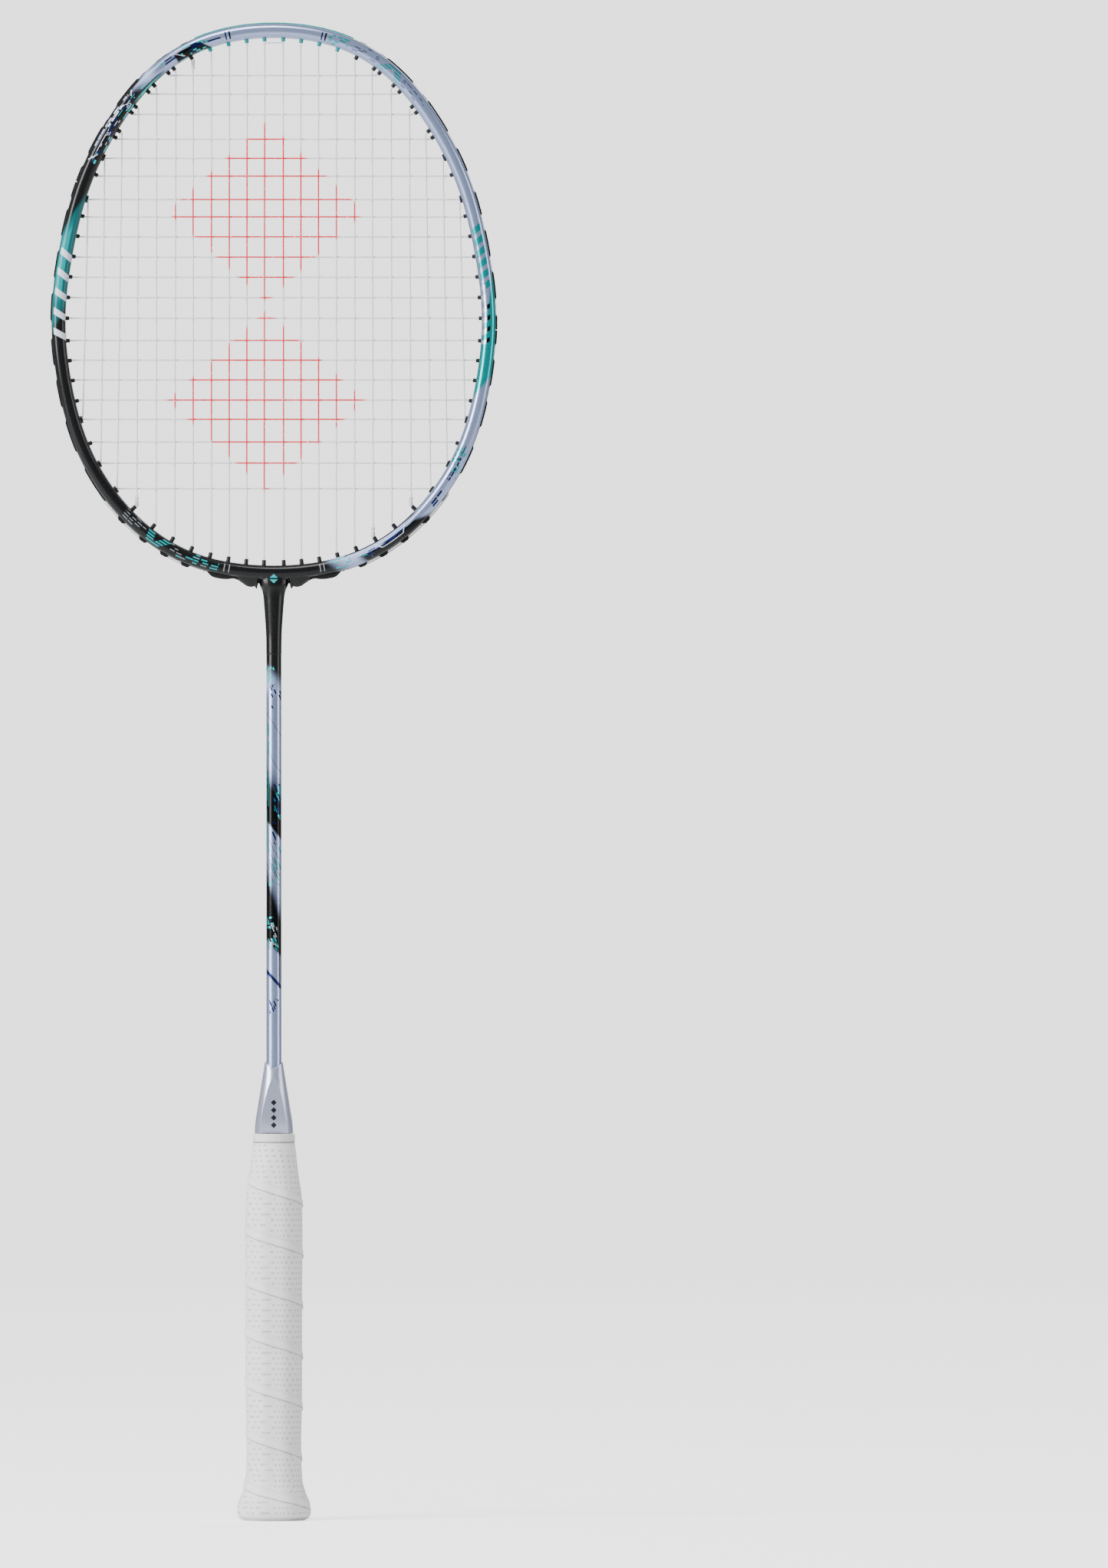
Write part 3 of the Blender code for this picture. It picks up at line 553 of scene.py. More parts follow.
# colour, from, to (mm along the outline), how far each edge runs on across the tube, softness, and
# the shares of the tube's width between which the layer lies (0 at the outer edge, 1 at the inner)
HOOP_ZONES = (
    (LAVENDER, -73, 327, 8, 6, 12, -1, 2),
    (BLACK, -95, -66, 0, 2, 8, -1, 0.16),
    # black carried on along the inner edge past the black paint to -63, with a teal line in it: painted shade
    (BLACK, -95, -63, 0, 6, 8, 0.74, 2),
    (TEAL, -76, -60, 0, 0, 6, 0.82, 0.92),
    (BLACK, -49, -38.5, 0, 8, 1.5, 0.38, 2),
    (SILVER, -51.4, -50.6, 8, 8, 0.3, 0.28, 0.80),
    (CYAN, -45, -40.5, 3, 3, 0.6, 0.18, 0.31),
    (NAVY, -41.5, -36.5, 4, 4, 0.6, 0.30, 0.56),
    (CYAN, -36.5, -33.4, 0, 0, 0.4, 0.28, 0.39),
    (CYAN, -34, -31, 0, 0, 0.4, 0.47, 0.57),
    (NAVY, -31.6, -25.2, 0, 0, 0.4, 0.50, 0.61),
    (CYAN, -57.6, -54.6, 0, 0, 0.4, 0.30, 0.40),
    (NAVY, -54.2, -50, 0, 0, 0.4, 0.32, 0.42),
    (NAVY, -54.6, -48.4, 0, 0, 0.4, 0.51, 0.61),
    (SILVER, -111, -94, 0, 0, 0.4, 0.44, 0.48),
    (SILVER, -113.4, -112.7, 8.7, 8.7, 0.3, 0.18, 0.62),
    (SILVER, -86, -85.3, 9, 9, 0.3, 0.25, 0.70),
    (SILVER, -73.4, -72.7, -8, -8, 0.3, 0.15, 0.42),
    (CYAN, -112.2, -110.4, 0, 0, 0.4, 0.58, 0.72),
    (TEAL, 163, 212, 34, 11, 4, -1, 2),
    # the left teal zone in the darker copy of teal, painted shade, and across its middle a lighter band in
    # the darker cyan, a painted highlight
    (SHADED_TEAL, -192, -147, 13, 21, 7, -1, 2),
    (SHADED_CYAN, -176, -150, 0, 12, 8, 0.12, 0.62),
    (NAVY, 286, 300, 12, 12, 3, 0.40, 0.66),
    (BLACK, 280, 318, 14, 4, 5, -1, 0.56),
    (BLACK, 286, 327, 0, 0, 3, 0.90, 2),
    (SILVER, 299.0, 299.6, -7.5, -7.5, 0.3, 0.40, 0.85),
    (SILVER, 296, 308, 0, 0, 0.4, 0.38, 0.42),
    (SILVER, 305.4, 306.0, 6, 6, 0.3, 0.40, 0.90),
)
# colour, from, to, dash length (mm), pitch and fill of the lanes, density, seed, shares as above
HOOP_DASHES = (
    (SILVER, -110, -77, 3.4, 0.26, 0.80, 0.30, 1, 0.14, 0.40),
    (LAVENDER, -110, -77, 3.0, 0.26, 0.80, 0.40, 2, 0.14, 0.40),
    (NAVY, -112, -74, 3.6, 0.14, 0.60, 0.36, 3, 0.42, 0.84),
    (CYAN, -109, -66, 4.6, 0.14, 0.55, 0.30, 4, 0.50, 0.98),
    (SILVER, -104, -76, 3.0, 0.12, 0.35, 0.22, 5, 0.42, 0.90),
    (CYAN, -48, -30, 3.0, 0.13, 0.60, 0.26, 6, 0.55, 0.98),
    (NAVY, -47, -33, 3.4, 0.13, 0.60, 0.34, 7, 0.42, 0.90),
    (GREY, -297, -283, 3.4, 0.19, 0.32, 0.65, 8, 0.14, 0.86),
    # cyan dashes on the lower left in the darker copy of cyan: painted shade
    (SHADED_CYAN, -335, -311, 4.2, 0.19, 0.50, 0.40, 9, 0.14, 0.98),
    (GREY, -333, -309, 3.4, 0.19, 0.34, 0.35, 10, 0.14, 0.98),
    (TEAL, 26, 36, 3.4, 0.19, 0.60, 0.55, 11, 0.20, 0.90),
    (NAVY, 37, 52, 3.4, 0.13, 0.40, 0.36, 12, 0.15, 0.80),
    (NAVY, 67, 82, 3.8, 0.13, 0.40, 0.40, 13, 0.15, 0.75),
    (TEAL, 247, 262, 2.8, 0.19, 0.65, 0.60, 14, 0.12, 0.90),
    (NAVY, 252, 264, 2.8, 0.17, 0.65, 0.45, 15, 0.12, 0.60),
    (NAVY, 266, 278, 4.2, 0.17, 0.75, 0.75, 16, 0.18, 0.56),
    (NAVY, 246, 250, 2.0, 0.13, 0.40, 0.50, 17, 0.20, 0.80),
    (TEAL, 314, 323, 4.0, 0.14, 0.50, 0.30, 18, 0.20, 0.50),
    (NAVY, 296, 318, 4.0, 0.14, 0.50, 0.28, 19, 0.30, 0.70),
    (TEAL, 324, 335, 3.6, 0.19, 0.50, 0.40, 20, 0.20, 0.90),
)
# colour, from, to at the outer edge, shift of both across the tube, shares as above: parallel
# dashes that together make a leaning patch
HOOP_CLUSTERS = (
    # cyan patches on the lower left in the darker copy of cyan: painted shade
    (SHADED_CYAN, -304.0, -300.0, -7.0, 0.14, 0.90),
    (SHADED_CYAN, -302.4, -298.6, 2.0, 0.14, 0.90),
    (TEAL, 58.6, 62.6, -8.0, 0.14, 0.80),
    (TEAL, 59.2, 63.4, 5.0, 0.14, 0.80),
)
# colour, from, to, pitch of the plain slanted bars, share of the pitch they fill, shares as above
HOOP_BARS = (
    (SILVER, -197, -151, 9.2, 0.34, 0.16, 0.96),
    (TEAL, 142, 172, 5.2, 0.60, 0.24, 0.84),
    (SILVER, 170, 198, 5.2, 0.50, 0.60, 0.96),
    (BLACK, 178, 200, 5.2, 0.42, 0.40, 0.62),
)
HOOP_TICKS = ((NAVY, 22.4, 23.1), (BLACK, 24.1, 24.9), (BLACK, -21.2, -20.4), (NAVY, -23.0, -22.3),
              (GREY, 337.0, 337.5), (GREY, 338.8, 339.3), (GREY, -337.9, -337.4), (GREY, -340.2, -339.7))

# where one arc of the hoop's paint ends and the next begins, and how far a layer's slant can reach
HOOP_ARCS = (-362, -316, -280, -206, -170, -120, -96, -70, -44, -20, 20, 50, 84, 130, 160, 190, 230,
             262, 290, 316, 362)
SLANT_REACH = 24


def flaked(paint, colour, flake, least_rough):
    """Lacquer over a colour, with faint bright flakes and a gloss that varies with them."""
    paint.colour(paint.mix(flake.ramp(0.55, 0.75) * 0.04, colour, SILVER))
    paint.rough(flake * 0.10 + least_rough)
    return paint.material


def edged(along, across, start, end, start_slant, end_slant, start_soft, end_soft):
    """1 between two edges, each with its own slant and softness."""
    low = (along - across * start_slant).ramp(start - start_soft / 2, start + start_soft / 2)
    high = (along - across * end_slant).ramp(end + end_soft / 2, end - end_soft / 2)
    return low * high


def hoop_finish(low_end, high_end):
    """The lacquer of one arc of the hoop, with the layers that reach into it."""
    def reaching(rows):
        return [row for row in rows if row[2] > low_end - SLANT_REACH and row[1] < high_end + SLANT_REACH]

    paint = Paint("hoop_lacquer", **LACQUER)
    along = paint.attribute("along") / MM
    across = paint.attribute("across")
    around = paint.attribute("around") / MM
    colour = paint.mix(0.0, BLACK, BLACK)
    for tint, *edges, soft, least, most in reaching(HOOP_ZONES):
        zone = edged(along, across, *edges, soft, soft)
        colour = paint.mix(zone * across.between(least, most, 0.03), colour, tint)
    for tint, start, end, *pattern, least, most in reaching(HOOP_DASHES):
        window = along.between(start, end, 0.6) * across.between(least, most, 0.02)
        colour = paint.mix(paint.dashes(along, across, *pattern) * window, colour, tint)
    for tint, start, end, shift, least, most in reaching(HOOP_CLUSTERS):
        lanes = ((across - 0.12) / 0.19).fract().between(0.22, 0.78, 0.1)
        patch = (along - across * shift).between(start, end, 0.4)
        colour = paint.mix(lanes * patch * across.between(least, most, 0.02), colour, tint)
    for tint, start, end, pitch, share, least, most in reaching(HOOP_BARS):
        leaning = (along + across * 4.0 * (1 if start < 0 else -1)) / pitch
        bar = leaning.fract().between(0.08, 0.08 + share, 0.05) * across.between(least, most, 0.05)
        colour = paint.mix(bar * along.between(start, end, 0.5), colour, tint)
    for tint, start, end in reaching(HOOP_TICKS):
        colour = paint.mix(along.between(start, end, 0.2) * across.between(0.25, 0.80, 0.05), colour, tint)
    metal = along.ramp(-66.0, -58.0) * along.ramp(300.0, 288.0) * 0.8
    paint.put(paint.shader.inputs["Metallic"], metal)
    return flaked(paint, colour, paint.noise(along, around, 0.0, 9.0, 1.0), 0.22)


# colour, from, to (mm from the butt), slant of each edge for each mm across, softness of each edge
SHAFT_ZONES = (
    (BLACK, 379, 400, -0.9, 0.0, 12, 1),
    (BLACK, 311, 334, -1.3, -1.3, 2, 14),
    (BLACK, 258, 284, -1.2, -3.0, 2, 14),
    (GREY, 358.7, 359.3, -1.6, -1.6, 0.5, 0.5),
    (GREY, 341.7, 342.3, -1.6, -1.6, 0.5, 0.5),
    (NAVY, 243, 245, -1.1, -1.1, 1, 1),
)
# colour, from, to, least and greatest distance across (mm), dash length and width, density, seed,
# and how many degrees the dashes lean from upper left to lower right
SHAFT_DASHES = (
    (TEAL, 377, 385, -3.0, 0.4, 2.6, 1.0, 0.6, 1, 18),
    (NAVY, 366, 377, -1.8, 3.4, 3.4, 1.0, 0.25, 2, 24),
    (TEAL, 346, 366, -3.4, -2.0, 8.0, 1.4, 0.75, 3, 0),
    (TEAL, 297, 346, -3.4, -2.3, 24.0, 1.4, 1.0, 4, 0),
    (NAVY, 318, 340, -3.4, -2.3, 1.6, 1.4, 0.25, 5, 0),
    (TEAL, 316, 332, 0.2, 3.4, 4.5, 0.9, 0.45, 6, 22),
    (NAVY, 314, 332, -0.6, 3.4, 5.0, 1.0, 0.45, 7, 22),
    (NAVY, 305, 311, -2.0, 1.0, 5.0, 1.2, 0.5, 8, 22),
    (TEAL, 286, 304, -2.4, 3.4, 5.0, 0.9, 0.38, 9, 22),
    (GREY, 288, 307, -3.0, 3.4, 6.0, 0.6, 0.30, 10, 22),
    (CYAN, 267, 272, -3.0, 0.0, 4.0, 2.0, 0.8, 11, 15),
    (SILVER, 259, 269, -1.6, 1.6, 4.0, 0.8, 0.45, 12, 22),
    (TEAL, 257, 263, -2.6, 2.2, 4.0, 0.9, 0.5, 13, 22),
    (BLACK, 240, 262, 2.2, 3.4, 30.0, 1.4, 1.0, 14, 0),
    (TEAL, 233, 238, -2.4, 2.0, 3.6, 0.9, 0.45, 15, 22),
    (NAVY, 228, 235, -2.0, 2.6, 3.6, 0.9, 0.40, 16, 22),
)


def shaft_finish():
    paint = Paint("shaft_lacquer", **LACQUER)
    x, y, z = paint.place()
    across = x / MM
    height = z / MM
    colour = paint.mix(0.0, LAVENDER, LAVENDER)
    for tint, *edges in SHAFT_ZONES:
        colour = paint.mix(edged(height, across, *edges), colour, tint)
    for tint, start, end, least, most, length, pitch, density, seed, lean in SHAFT_DASHES:
        cos, sin = math.cos(math.radians(lean)), math.sin(math.radians(lean))
        mask = paint.dashes(height * cos - across * sin, across * cos + height * sin,
                            length, pitch, 0.7, density, seed)
        window = height.between(start, end, 0.8) * across.between(least, most, 0.2)
        colour = paint.mix(mask * window, colour, tint)
    paint.put(paint.shader.inputs["Metallic"], height.ramp(380.0, 370.0) * 0.85)
    return flaked(paint, colour, paint.noise(across, y / MM, height, 9.0, 1.0), 0.20)


def joint_finish():
    """Black lacquer with a small split diamond on the front."""
    paint = Paint("joint_lacquer", coat=0.2, coat_roughness=0.1, specular=0.2)
    x, y, z = paint.place()
    height = z / MM - 424.6
    mark = ((x / MM).size() + height.size() * 1.1) < 2.3
    split = (height.size() > 0.35) * (y < 0.0)
    colour = paint.mix(mark * split, BLACK, TEAL)
    flake = paint.noise(x, y, z, 5000.0, 1.0)
    paint.colour(paint.mix(flake.ramp(0.5, 0.8) * 0.08, colour, GREY))
    paint.rough(flake * 0.12 + 0.22)
    return paint.material


def nylon_finish(name, tint, worn, roughness):
    """Moulded nylon with a faint mottle and polished high spots."""
    paint = Paint(name, roughness=roughness, specular=0.3)
    x, y, z = paint.place()
    grain = paint.noise(x, y, z, 1800.0, 3.0)
    paint.colour(paint.mix(grain.ramp(0.45, 0.75) * 0.5, tint, worn))
    paint.rough(grain * 0.2 + (roughness - 0.1))
    paint.bump(paint.noise(x, y, z, 6000.0, 2.0), 0.00004)
    return paint.material


INK_DIAMONDS = (((-3.5, 590.0), (45.0, 41.0)), ((-3.5, 505.0), (45.0, 41.0)))


def string_finish():
    """Wound nylon, inked red inside two plain diamonds."""
    paint = Paint("string_nylon", roughness=0.4, specular=0.25, subsurface=0.1, subsurface_scale=0.0005)
    x, y, z = paint.place()
    ink = None
    for (centre_x, centre_z), (half_x, half_z) in INK_DIAMONDS:
        reach = ((x / MM - centre_x) / half_x).size() + ((z / MM - centre_z) / half_z).size()
        spot = reach.ramp(1.03, 0.97)
        ink = spot if ink is None else ink + spot
    patchy = paint.noise(x, y, z, 900.0, 3.0).ramp(0.20, 0.42)
    ivory = paint.mix(paint.noise(x, y, z, 260.0, 2.0), (0.70, 0.70, 0.72), (0.82, 0.82, 0.83))
    paint.colour(paint.mix(ink * patchy, ivory, (0.78, 0.003, 0.03)))
    turns = paint.attribute("along") / MM * 14.0 + paint.attribute("around") * 2.0
    paint.bump(turns.wave(), 0.00003)
    return paint.material


def sleeve_finish():
    paint = Paint("sleeve_nylon", transmission=0.45)
    cloud = paint.noise(*paint.place(), 1500.0, 2.0)
    paint.colour(paint.mix(cloud, (0.78, 0.79, 0.80), (0.90, 0.90, 0.91)))
    paint.rough(cloud * 0.2 + 0.15)
    return paint.material


def cone_finish():
    """Satin metallic plastic with plain dark lozenges down the front facet."""
    paint = Paint("cone_plastic", roughness=0.4, metallic=0.75, coat=0.2, coat_roughness=0.2)
    x, y, z = paint.place()
    across = x / MM
    height = z / MM
    satin = paint.noise(x, y, z, 3500.0, 2.0)
    colour = paint.mix(satin, (0.46, 0.50, 0.66), (0.52, 0.56, 0.72))
    step = (height - 176.5) / 3.4
    lozenge = across.size() / 1.5 + (step.fract() - 0.5).size() * 2.2
    column = height.between(176.5, 190.1, 0.05) * (y < 0.0)
    colour = paint.mix((lozenge < 0.9) * column, colour, (0.02, 0.022, 0.035))
    paint.colour(colour)
    paint.rough(satin * 0.10 + 0.24)
    paint.bump(paint.noise(x, y, z, 9000.0, 1.0), 0.00002)
    return paint.material


def band_finish():
    paint = Paint("band_vinyl", roughness=0.5)
    x, y, z = paint.place()
    stretch = paint.noise(x, y, z * 0.2, 1200.0, 3.0)
    colour = paint.mix(stretch, (0.66, 0.66, 0.65), (0.76, 0.76, 0.75))
    # a dark line along the band's lower edge, where it meets the grip: painted shade
    paint.colour(paint.mix((z / MM).ramp(171.2, 170.7) * 0.8, colour, (0.30, 0.30, 0.31)))
    paint.bump(stretch, 0.00015)
    paint.rough(stretch * 0.2 + 0.4)
    return paint.material


def grip_finish():
    """White synthetic leather with rows of pressed dashes between smooth tape edges, with painted shade in
    the dashes and along the top of each raised tape edge, and a painted shadow line under each tape edge.
    """
    paint = Paint("grip_tape", roughness=0.55)
    x, y, z = paint.place()
    over = paint.attribute("over") / MM
    along = paint.attribute("along") / MM
    row = z / MM / 2.4
    shift = (row.floor() * 0.5).fract()
    dash = (along / 3.3 + shift).fract().between(0.30, 0.66, 0.14)
    pressed = dash * row.fract().between(0.36, 0.62, 0.12) * over.between(4.4, 21.0, 0.6)
    leather = paint.noise(x, y, z, 1400.0, 4.0)
    soil = paint.noise(x, y, z, 60.0, 3.0)
    colour = paint.mix(soil.ramp(0.35, 0.75), (0.80, 0.80, 0.805), (0.76, 0.76, 0.765))
    # the pressed dashes painted darker: painted shade in the recesses
    colour = paint.mix(pressed * 0.6, colour, (0.46, 0.46, 0.47))
    # a darker line along the top of each raised tape edge: painted shade
    colour = paint.mix(over.between(3.0, 4.2, 0.8) * 0.22, colour, (0.46, 0.46, 0.47))
    # a dark line just under each tape edge, fading out below the collar: painted shadow
    edge = over.between(-0.60, 0.15, 0.3) * (z / MM).ramp(166.0, 158.0)
    paint.colour(paint.mix(edge * 0.8, colour, (0.26, 0.26, 0.27)))
    paint.rough(leather * 0.2 + 0.45)
    paint.bump(leather * 0.10 - pressed, 0.0003)
    return paint.material


def wood_finish():
    paint = Paint("handle_wood", roughness=0.7)
    x, y, z = paint.place()
    rings = (paint.noise(x, y, z * 0.05, 400.0, 3.0) * 30.0).wave()
    paint.colour(paint.mix(rings.ramp(-1.0, 1.0), (0.42, 0.28, 0.15), (0.58, 0.42, 0.25)))
    paint.bump(rings, 0.0001)
    return paint.material


def badge_finish():
    """Teal plastic turned with plain concentric rings."""
    paint = Paint("badge_plastic", roughness=0.35, coat=0.3)
    x, y = paint.place()[:2]
    turned = ((x * x + y * y).root() / MM * 6.3).wave()
    paint.colour(paint.mix(turned.ramp(-0.4, 0.4), (0.0, 0.20, 0.21), (0.0, 0.34, 0.35)))
    paint.bump(turned, 0.0001)
    return paint.material


# ---------------------------------------------------------------- hoop and T-joint
def rounded(turn, power):
    """cos and sin of a turn, on a circle made squarer by a power below 1."""
    return [math.copysign(abs(value) ** power, value) for value in (math.cos(turn), math.sin(turn))]


def tube_section(grooved, count):
    """(u, v) points of the hoop's rounded section, with or without its outer groove."""
    power = 2 / TUBE_ROUNDNESS
    start = math.asin((GROOVE_HALF_WIDTH / TUBE_HALF_DEPTH) ** (1 / power)) if grooved else 0.0
    points = []
    for turn in steps(start, TAU - start, count)[:None if grooved else -1]:
        cos, sin = rounded(turn, power)
        points.append((TUBE_OUTER_U - TUBE_WIDTH / 2 * (1 - cos), TUBE_HALF_DEPTH * sin))
    if grooved:
        points[0] = (points[0][0] - GROOVE_LIP * 0.3, GROOVE_HALF_WIDTH + GROOVE_LIP)
        points[-1] = (points[-1][0] - GROOVE_LIP * 0.3, -GROOVE_HALF_WIDTH - GROOVE_LIP)
        lip_u = TUBE_OUTER_U - GROOVE_LIP * 1.3
        points += [(lip_u, -GROOVE_HALF_WIDTH), (GROOVE_FLOOR_U, -GROOVE_HALF_WIDTH),
                   (GROOVE_FLOOR_U, GROOVE_HALF_WIDTH), (lip_u, GROOVE_HALF_WIDTH)]
    return points


def make_hoop():
    section = tube_section(True, 44)
    end = length_at(phi_at_foot(JOINT_HALF_WIDTH + JOINT_GAP))
    along = steps(-end, end, 1000)
    reached = travelled(section)
    across = np.clip((TUBE_OUTER_U - np.array(section)[:, 0]) / TUBE_WIDTH, 0.0, 1.0)
    hoop = loft("hoop_body", sweep_rings(section, [phi_at_length(length) for length in along]),
                along=np.array(along)[:, None], across=across,
                around=np.minimum(reached, reached[-1] - reached))
    arcs = list(zip(HOOP_ARCS, HOOP_ARCS[1:]))
    settle(hoop, hoop_finish(*arcs[0]), "hoop_lacquer", "frame_hoop")
    for arc in arcs[1:]:
        hoop.data.materials.append(hoop_finish(*arc))
    reach = hoop.data.attributes["along"].data
    for face in hoop.data.polygons:
        middle = reach[face.vertices[0]].value / MM
        face.material_index = max(0, sum(1 for low in HOOP_ARCS[:-1] if low <= middle) - 1)


def eased(table, count):
    """Rows of numbers between the table's rows, on a smooth curve through them."""
    rows = np.array(table)
    at = np.concatenate([[0.0], np.cumsum(np.abs(np.diff(rows[:, 0])))])
    slopes = np.gradient(rows, at, axis=0)
    made = []
    for place in np.linspace(0.0, at[-1], count):
        index = min(int(np.searchsorted(at, place, side="right")) - 1, len(at) - 2)
        gap = at[index + 1] - at[index]
        t = (place - at[index]) / gap
        rise = 3 * t ** 2 - 2 * t ** 3
        made.append((1 - rise) * rows[index] + rise * rows[index + 1]
                    + (t ** 3 - 2 * t ** 2 + t) * gap * slopes[index]
                    + (t ** 3 - t ** 2) * gap * slopes[index + 1])
    return made


GUARD_CURVE = np.array(eased(THROAT_GUARD, 160))


def guard_top(phi):
    """Outer face of the moulded guards beside the throat."""
    return float(np.interp(abs(head_point(phi)[0]), GUARD_CURVE[:, 0], GUARD_CURVE[:, 1]))


def guard_section(phi):
    """Rounded section of the T-joint's own metal under a guard."""
    top = guard_top(phi) - 0.1 * MM
    points = []
    for turn in steps(0.0, TAU, 28)[:-1]:
        cos, sin = rounded(turn, 0.7)
        reach = top - GUARD_MIDDLE_U if cos > 0.0 else -GUARD_MIDDLE_U
        points.append((GUARD_MIDDLE_U + reach * cos, GUARD_HALF_DEPTH * sin))
    return points


def make_joint(finish):
    """Saddle between the hoop's ends and the neck below it, melted into one casting."""
    builder = Builder()
    low = phi_at_foot(JOINT_HALF_WIDTH + 0.7 * MM)
    builder.skin(sweep_rings(tube_section(False, 40), steps(low, TAU - low, 70)))
    builder.skin([[(half_x * cos, half_y * sin, z) for cos, sin in circle(48)]
                  for z, half_x, half_y in eased(NECK, 90)])
    for side in (-1, 1):
        phis = [side * phi for phi in steps(phi_at_foot(JOINT_HALF_WIDTH), phi_at_foot(6.6 * MM), 40)]
        builder.skin(sweep_rings(guard_section, phis))
    joint = builder.make("t_joint_body")
    melt = joint.modifiers.new("melt", 'REMESH')
    melt.mode = 'VOXEL'
    melt.voxel_size = 0.3 * MM
    smooth = joint.modifiers.new("smooth", 'SMOOTH')
    smooth.factor = 0.5
    smooth.iterations = 10
    graph = bpy.context.evaluated_depsgraph_get()
    mesh = bpy.data.meshes.new_from_object(joint.evaluated_get(graph))
    joint.modifiers.clear()
    joint.data = mesh
    mesh.shade_smooth()
    settle(joint, finish, "joint_lacquer", "t_joint")


# ---------------------------------------------------------------- grommets
def is_bridge(seat):
    kind, number = seat["string"]
    return kind == "main" and seat["end"] == "foot" and BRIDGE_MAINS[0] <= number < BRIDGE_MAINS[1]


def loop_segments(side):
    """Middle, half length and height of the strip's raised segments, over the cross string's loops."""
    segments = []
    for number in range(0 if side > 0 else 1, len(CROSS_GAPS), 2):
        start, stop = [length_at(seat_phi("cross", one, "side")) for one in (number, number + 1)]
        segments.append(((start + stop) / 2, (stop - start) / 2 + LOOP_OVERHANG, LOOP_PROUD))
    return segments


def strip_top(phi, proud, blocks):
    """Outer face of a strip: low between seats, raised in a block round each seat."""
    here = abs(length_at(phi))
    top = proud
    for middle, half, height in blocks:
        if abs(here - middle) < half:
            top = max(top, proud + (height - proud) * min(1.0, (half - abs(here - middle)) / BLOCK_EASE))
    return top


def barrel(builder, seat):
    """A hollow barrel with a rounded mouth, along the hoop's normal at a seat."""
    profile = [(mouth_u(seat) + up, radius) for up, radius in BARREL_MOUTH]
    profile = [(BARREL_ROOT_U, BARREL_RADII[0]), *profile, (BARREL_ROOT_U, BARREL_RADII[1])]
    inner_x, inner_z = head_point(seat["phi"], -MM)
    outer_x, outer_z = head_point(seat["phi"], 0.0)
    across_x, across_z = (outer_z - inner_z) / MM, (inner_x - outer_x) / MM
    rings = []
    for u, radius in profile:
        x, z = head_point(seat["phi"], u)
        wide, deep = radius + 1.5 * seat["extra"], radius + seat["extra"]
        rings.append([(x + across_x * wide * cos, seat["v"] + deep * sin, z + across_z * wide * cos)
                      for cos, sin in circle(BARREL_SIDES)])
    builder.skin(rings, closed=True)


def make_strip(name, low, high, finish, slot, kind):
    """A strip in the groove between two angles, with a block and a barrel at each seat."""
    own = [seat for seat in HOLES if min(low, high) < seat["phi"] < max(low, high)]
    proud = STRIP_PROUD[kind]
    blocks = [(abs(length_at(seat["phi"])), *BLOCKS["bridge" if is_bridge(seat) else kind]) for seat in own]
    if kind == "side":
        blocks += loop_segments(low)

    def section(phi):
        guarded = abs(phi) > phi_at_foot(THROAT_GUARD[-1][0])
        top = max(proud, guard_top(phi)) if guarded else strip_top(phi, proud, blocks)
        shallow = guarded and top > 0.3 * MM
        floor = top - 0.02 * MM if shallow else max(STRIP_CHANNEL_U, top - 1.1 * MM)
        right = [(floor, STRIP_CHANNEL_HALF), (top, STRIP_CHANNEL_HALF), (top, STRIP_HALF_WIDTH - STRIP_EDGE),
                 (top - STRIP_EDGE, STRIP_HALF_WIDTH), (STRIP_FLOOR_U, STRIP_HALF_WIDTH)]
        return [(u, -v) for u, v in right[::-1]] + right

    builder = Builder()
    start, stop = length_at(low), length_at(high)
    lengths = steps(start, stop, max(20, int(abs(stop - start) / (0.4 * MM))))
    builder.skin(sweep_rings(section, [phi_at_length(length) for length in lengths]))
    for seat in own:
        barrel(builder, seat)
    settle(builder.make("strip_" + name), finish, slot, "grommet_strip_" + name)


def make_grommets(teal, black):
    def between(kind, number, end):
        """The angle midway between a string's seat and the next one's."""
        return (seat_phi(kind, number, end) + seat_phi(kind, number + 1, end)) / 2

    throat = phi_at_foot(THROAT_GUARD[-1][0] + 0.7 * MM)
    ends = (between("main", 3, "top"), between("cross", 5, "side"), between("cross", 12, "side"), throat,
            phi_at_foot(2.8 * MM))
    make_strip("top", -ends[0], ends[0], teal, "grommet_teal", "crown")
    for label, side in (("left", -1), ("right", 1)):
        for part, low, high in zip(("shoulder", "side", "lower", "throat"), ends, ends[1:]):
            span = (side * (low + STRIP_GAP_ANGLE), side * (high - STRIP_GAP_ANGLE))
            make_strip("%s_%s" % (part, label), *span, black, "grommet_black", "side")


# ---------------------------------------------------------------- strings
def bend_point(kind, number, end, side):
    seat = SEATS[kind, number, end]
    return head_point(side * seat["phi"], seat["bend"])


def main_line(index):
    """(top, foot) bend points of the main with this index: 0 and up on the right, -1 and down on the left."""
    side, number = (1, index) if index >= 0 else (-1, -1 - index)
    return bend_point("main", number, "top", side), bend_point("main", number, "foot", side)


def cross_line(number):
    return bend_point("cross", number, "side", -1), bend_point("cross", number, "side", 1)


def meeting(line_a, line_b):
    """Share of each line at which they cross, or None where they don't or only meet in a shared hole."""
    (ax, az), (bx, bz) = line_a
    (cx, cz), (dx, dz) = line_b
    det = (bx - ax) * (dz - cz) - (bz - az) * (dx - cx)
    first = ((cx - ax) * (dz - cz) - (cz - az) * (dx - cx)) / det
    second = ((cx - ax) * (bz - az) - (cz - az) * (bx - ax)) / det
    inside = NEAR_END < first < 1.0 - NEAR_END and NEAR_END < second < 1.0 - NEAR_END
    return first if inside else None


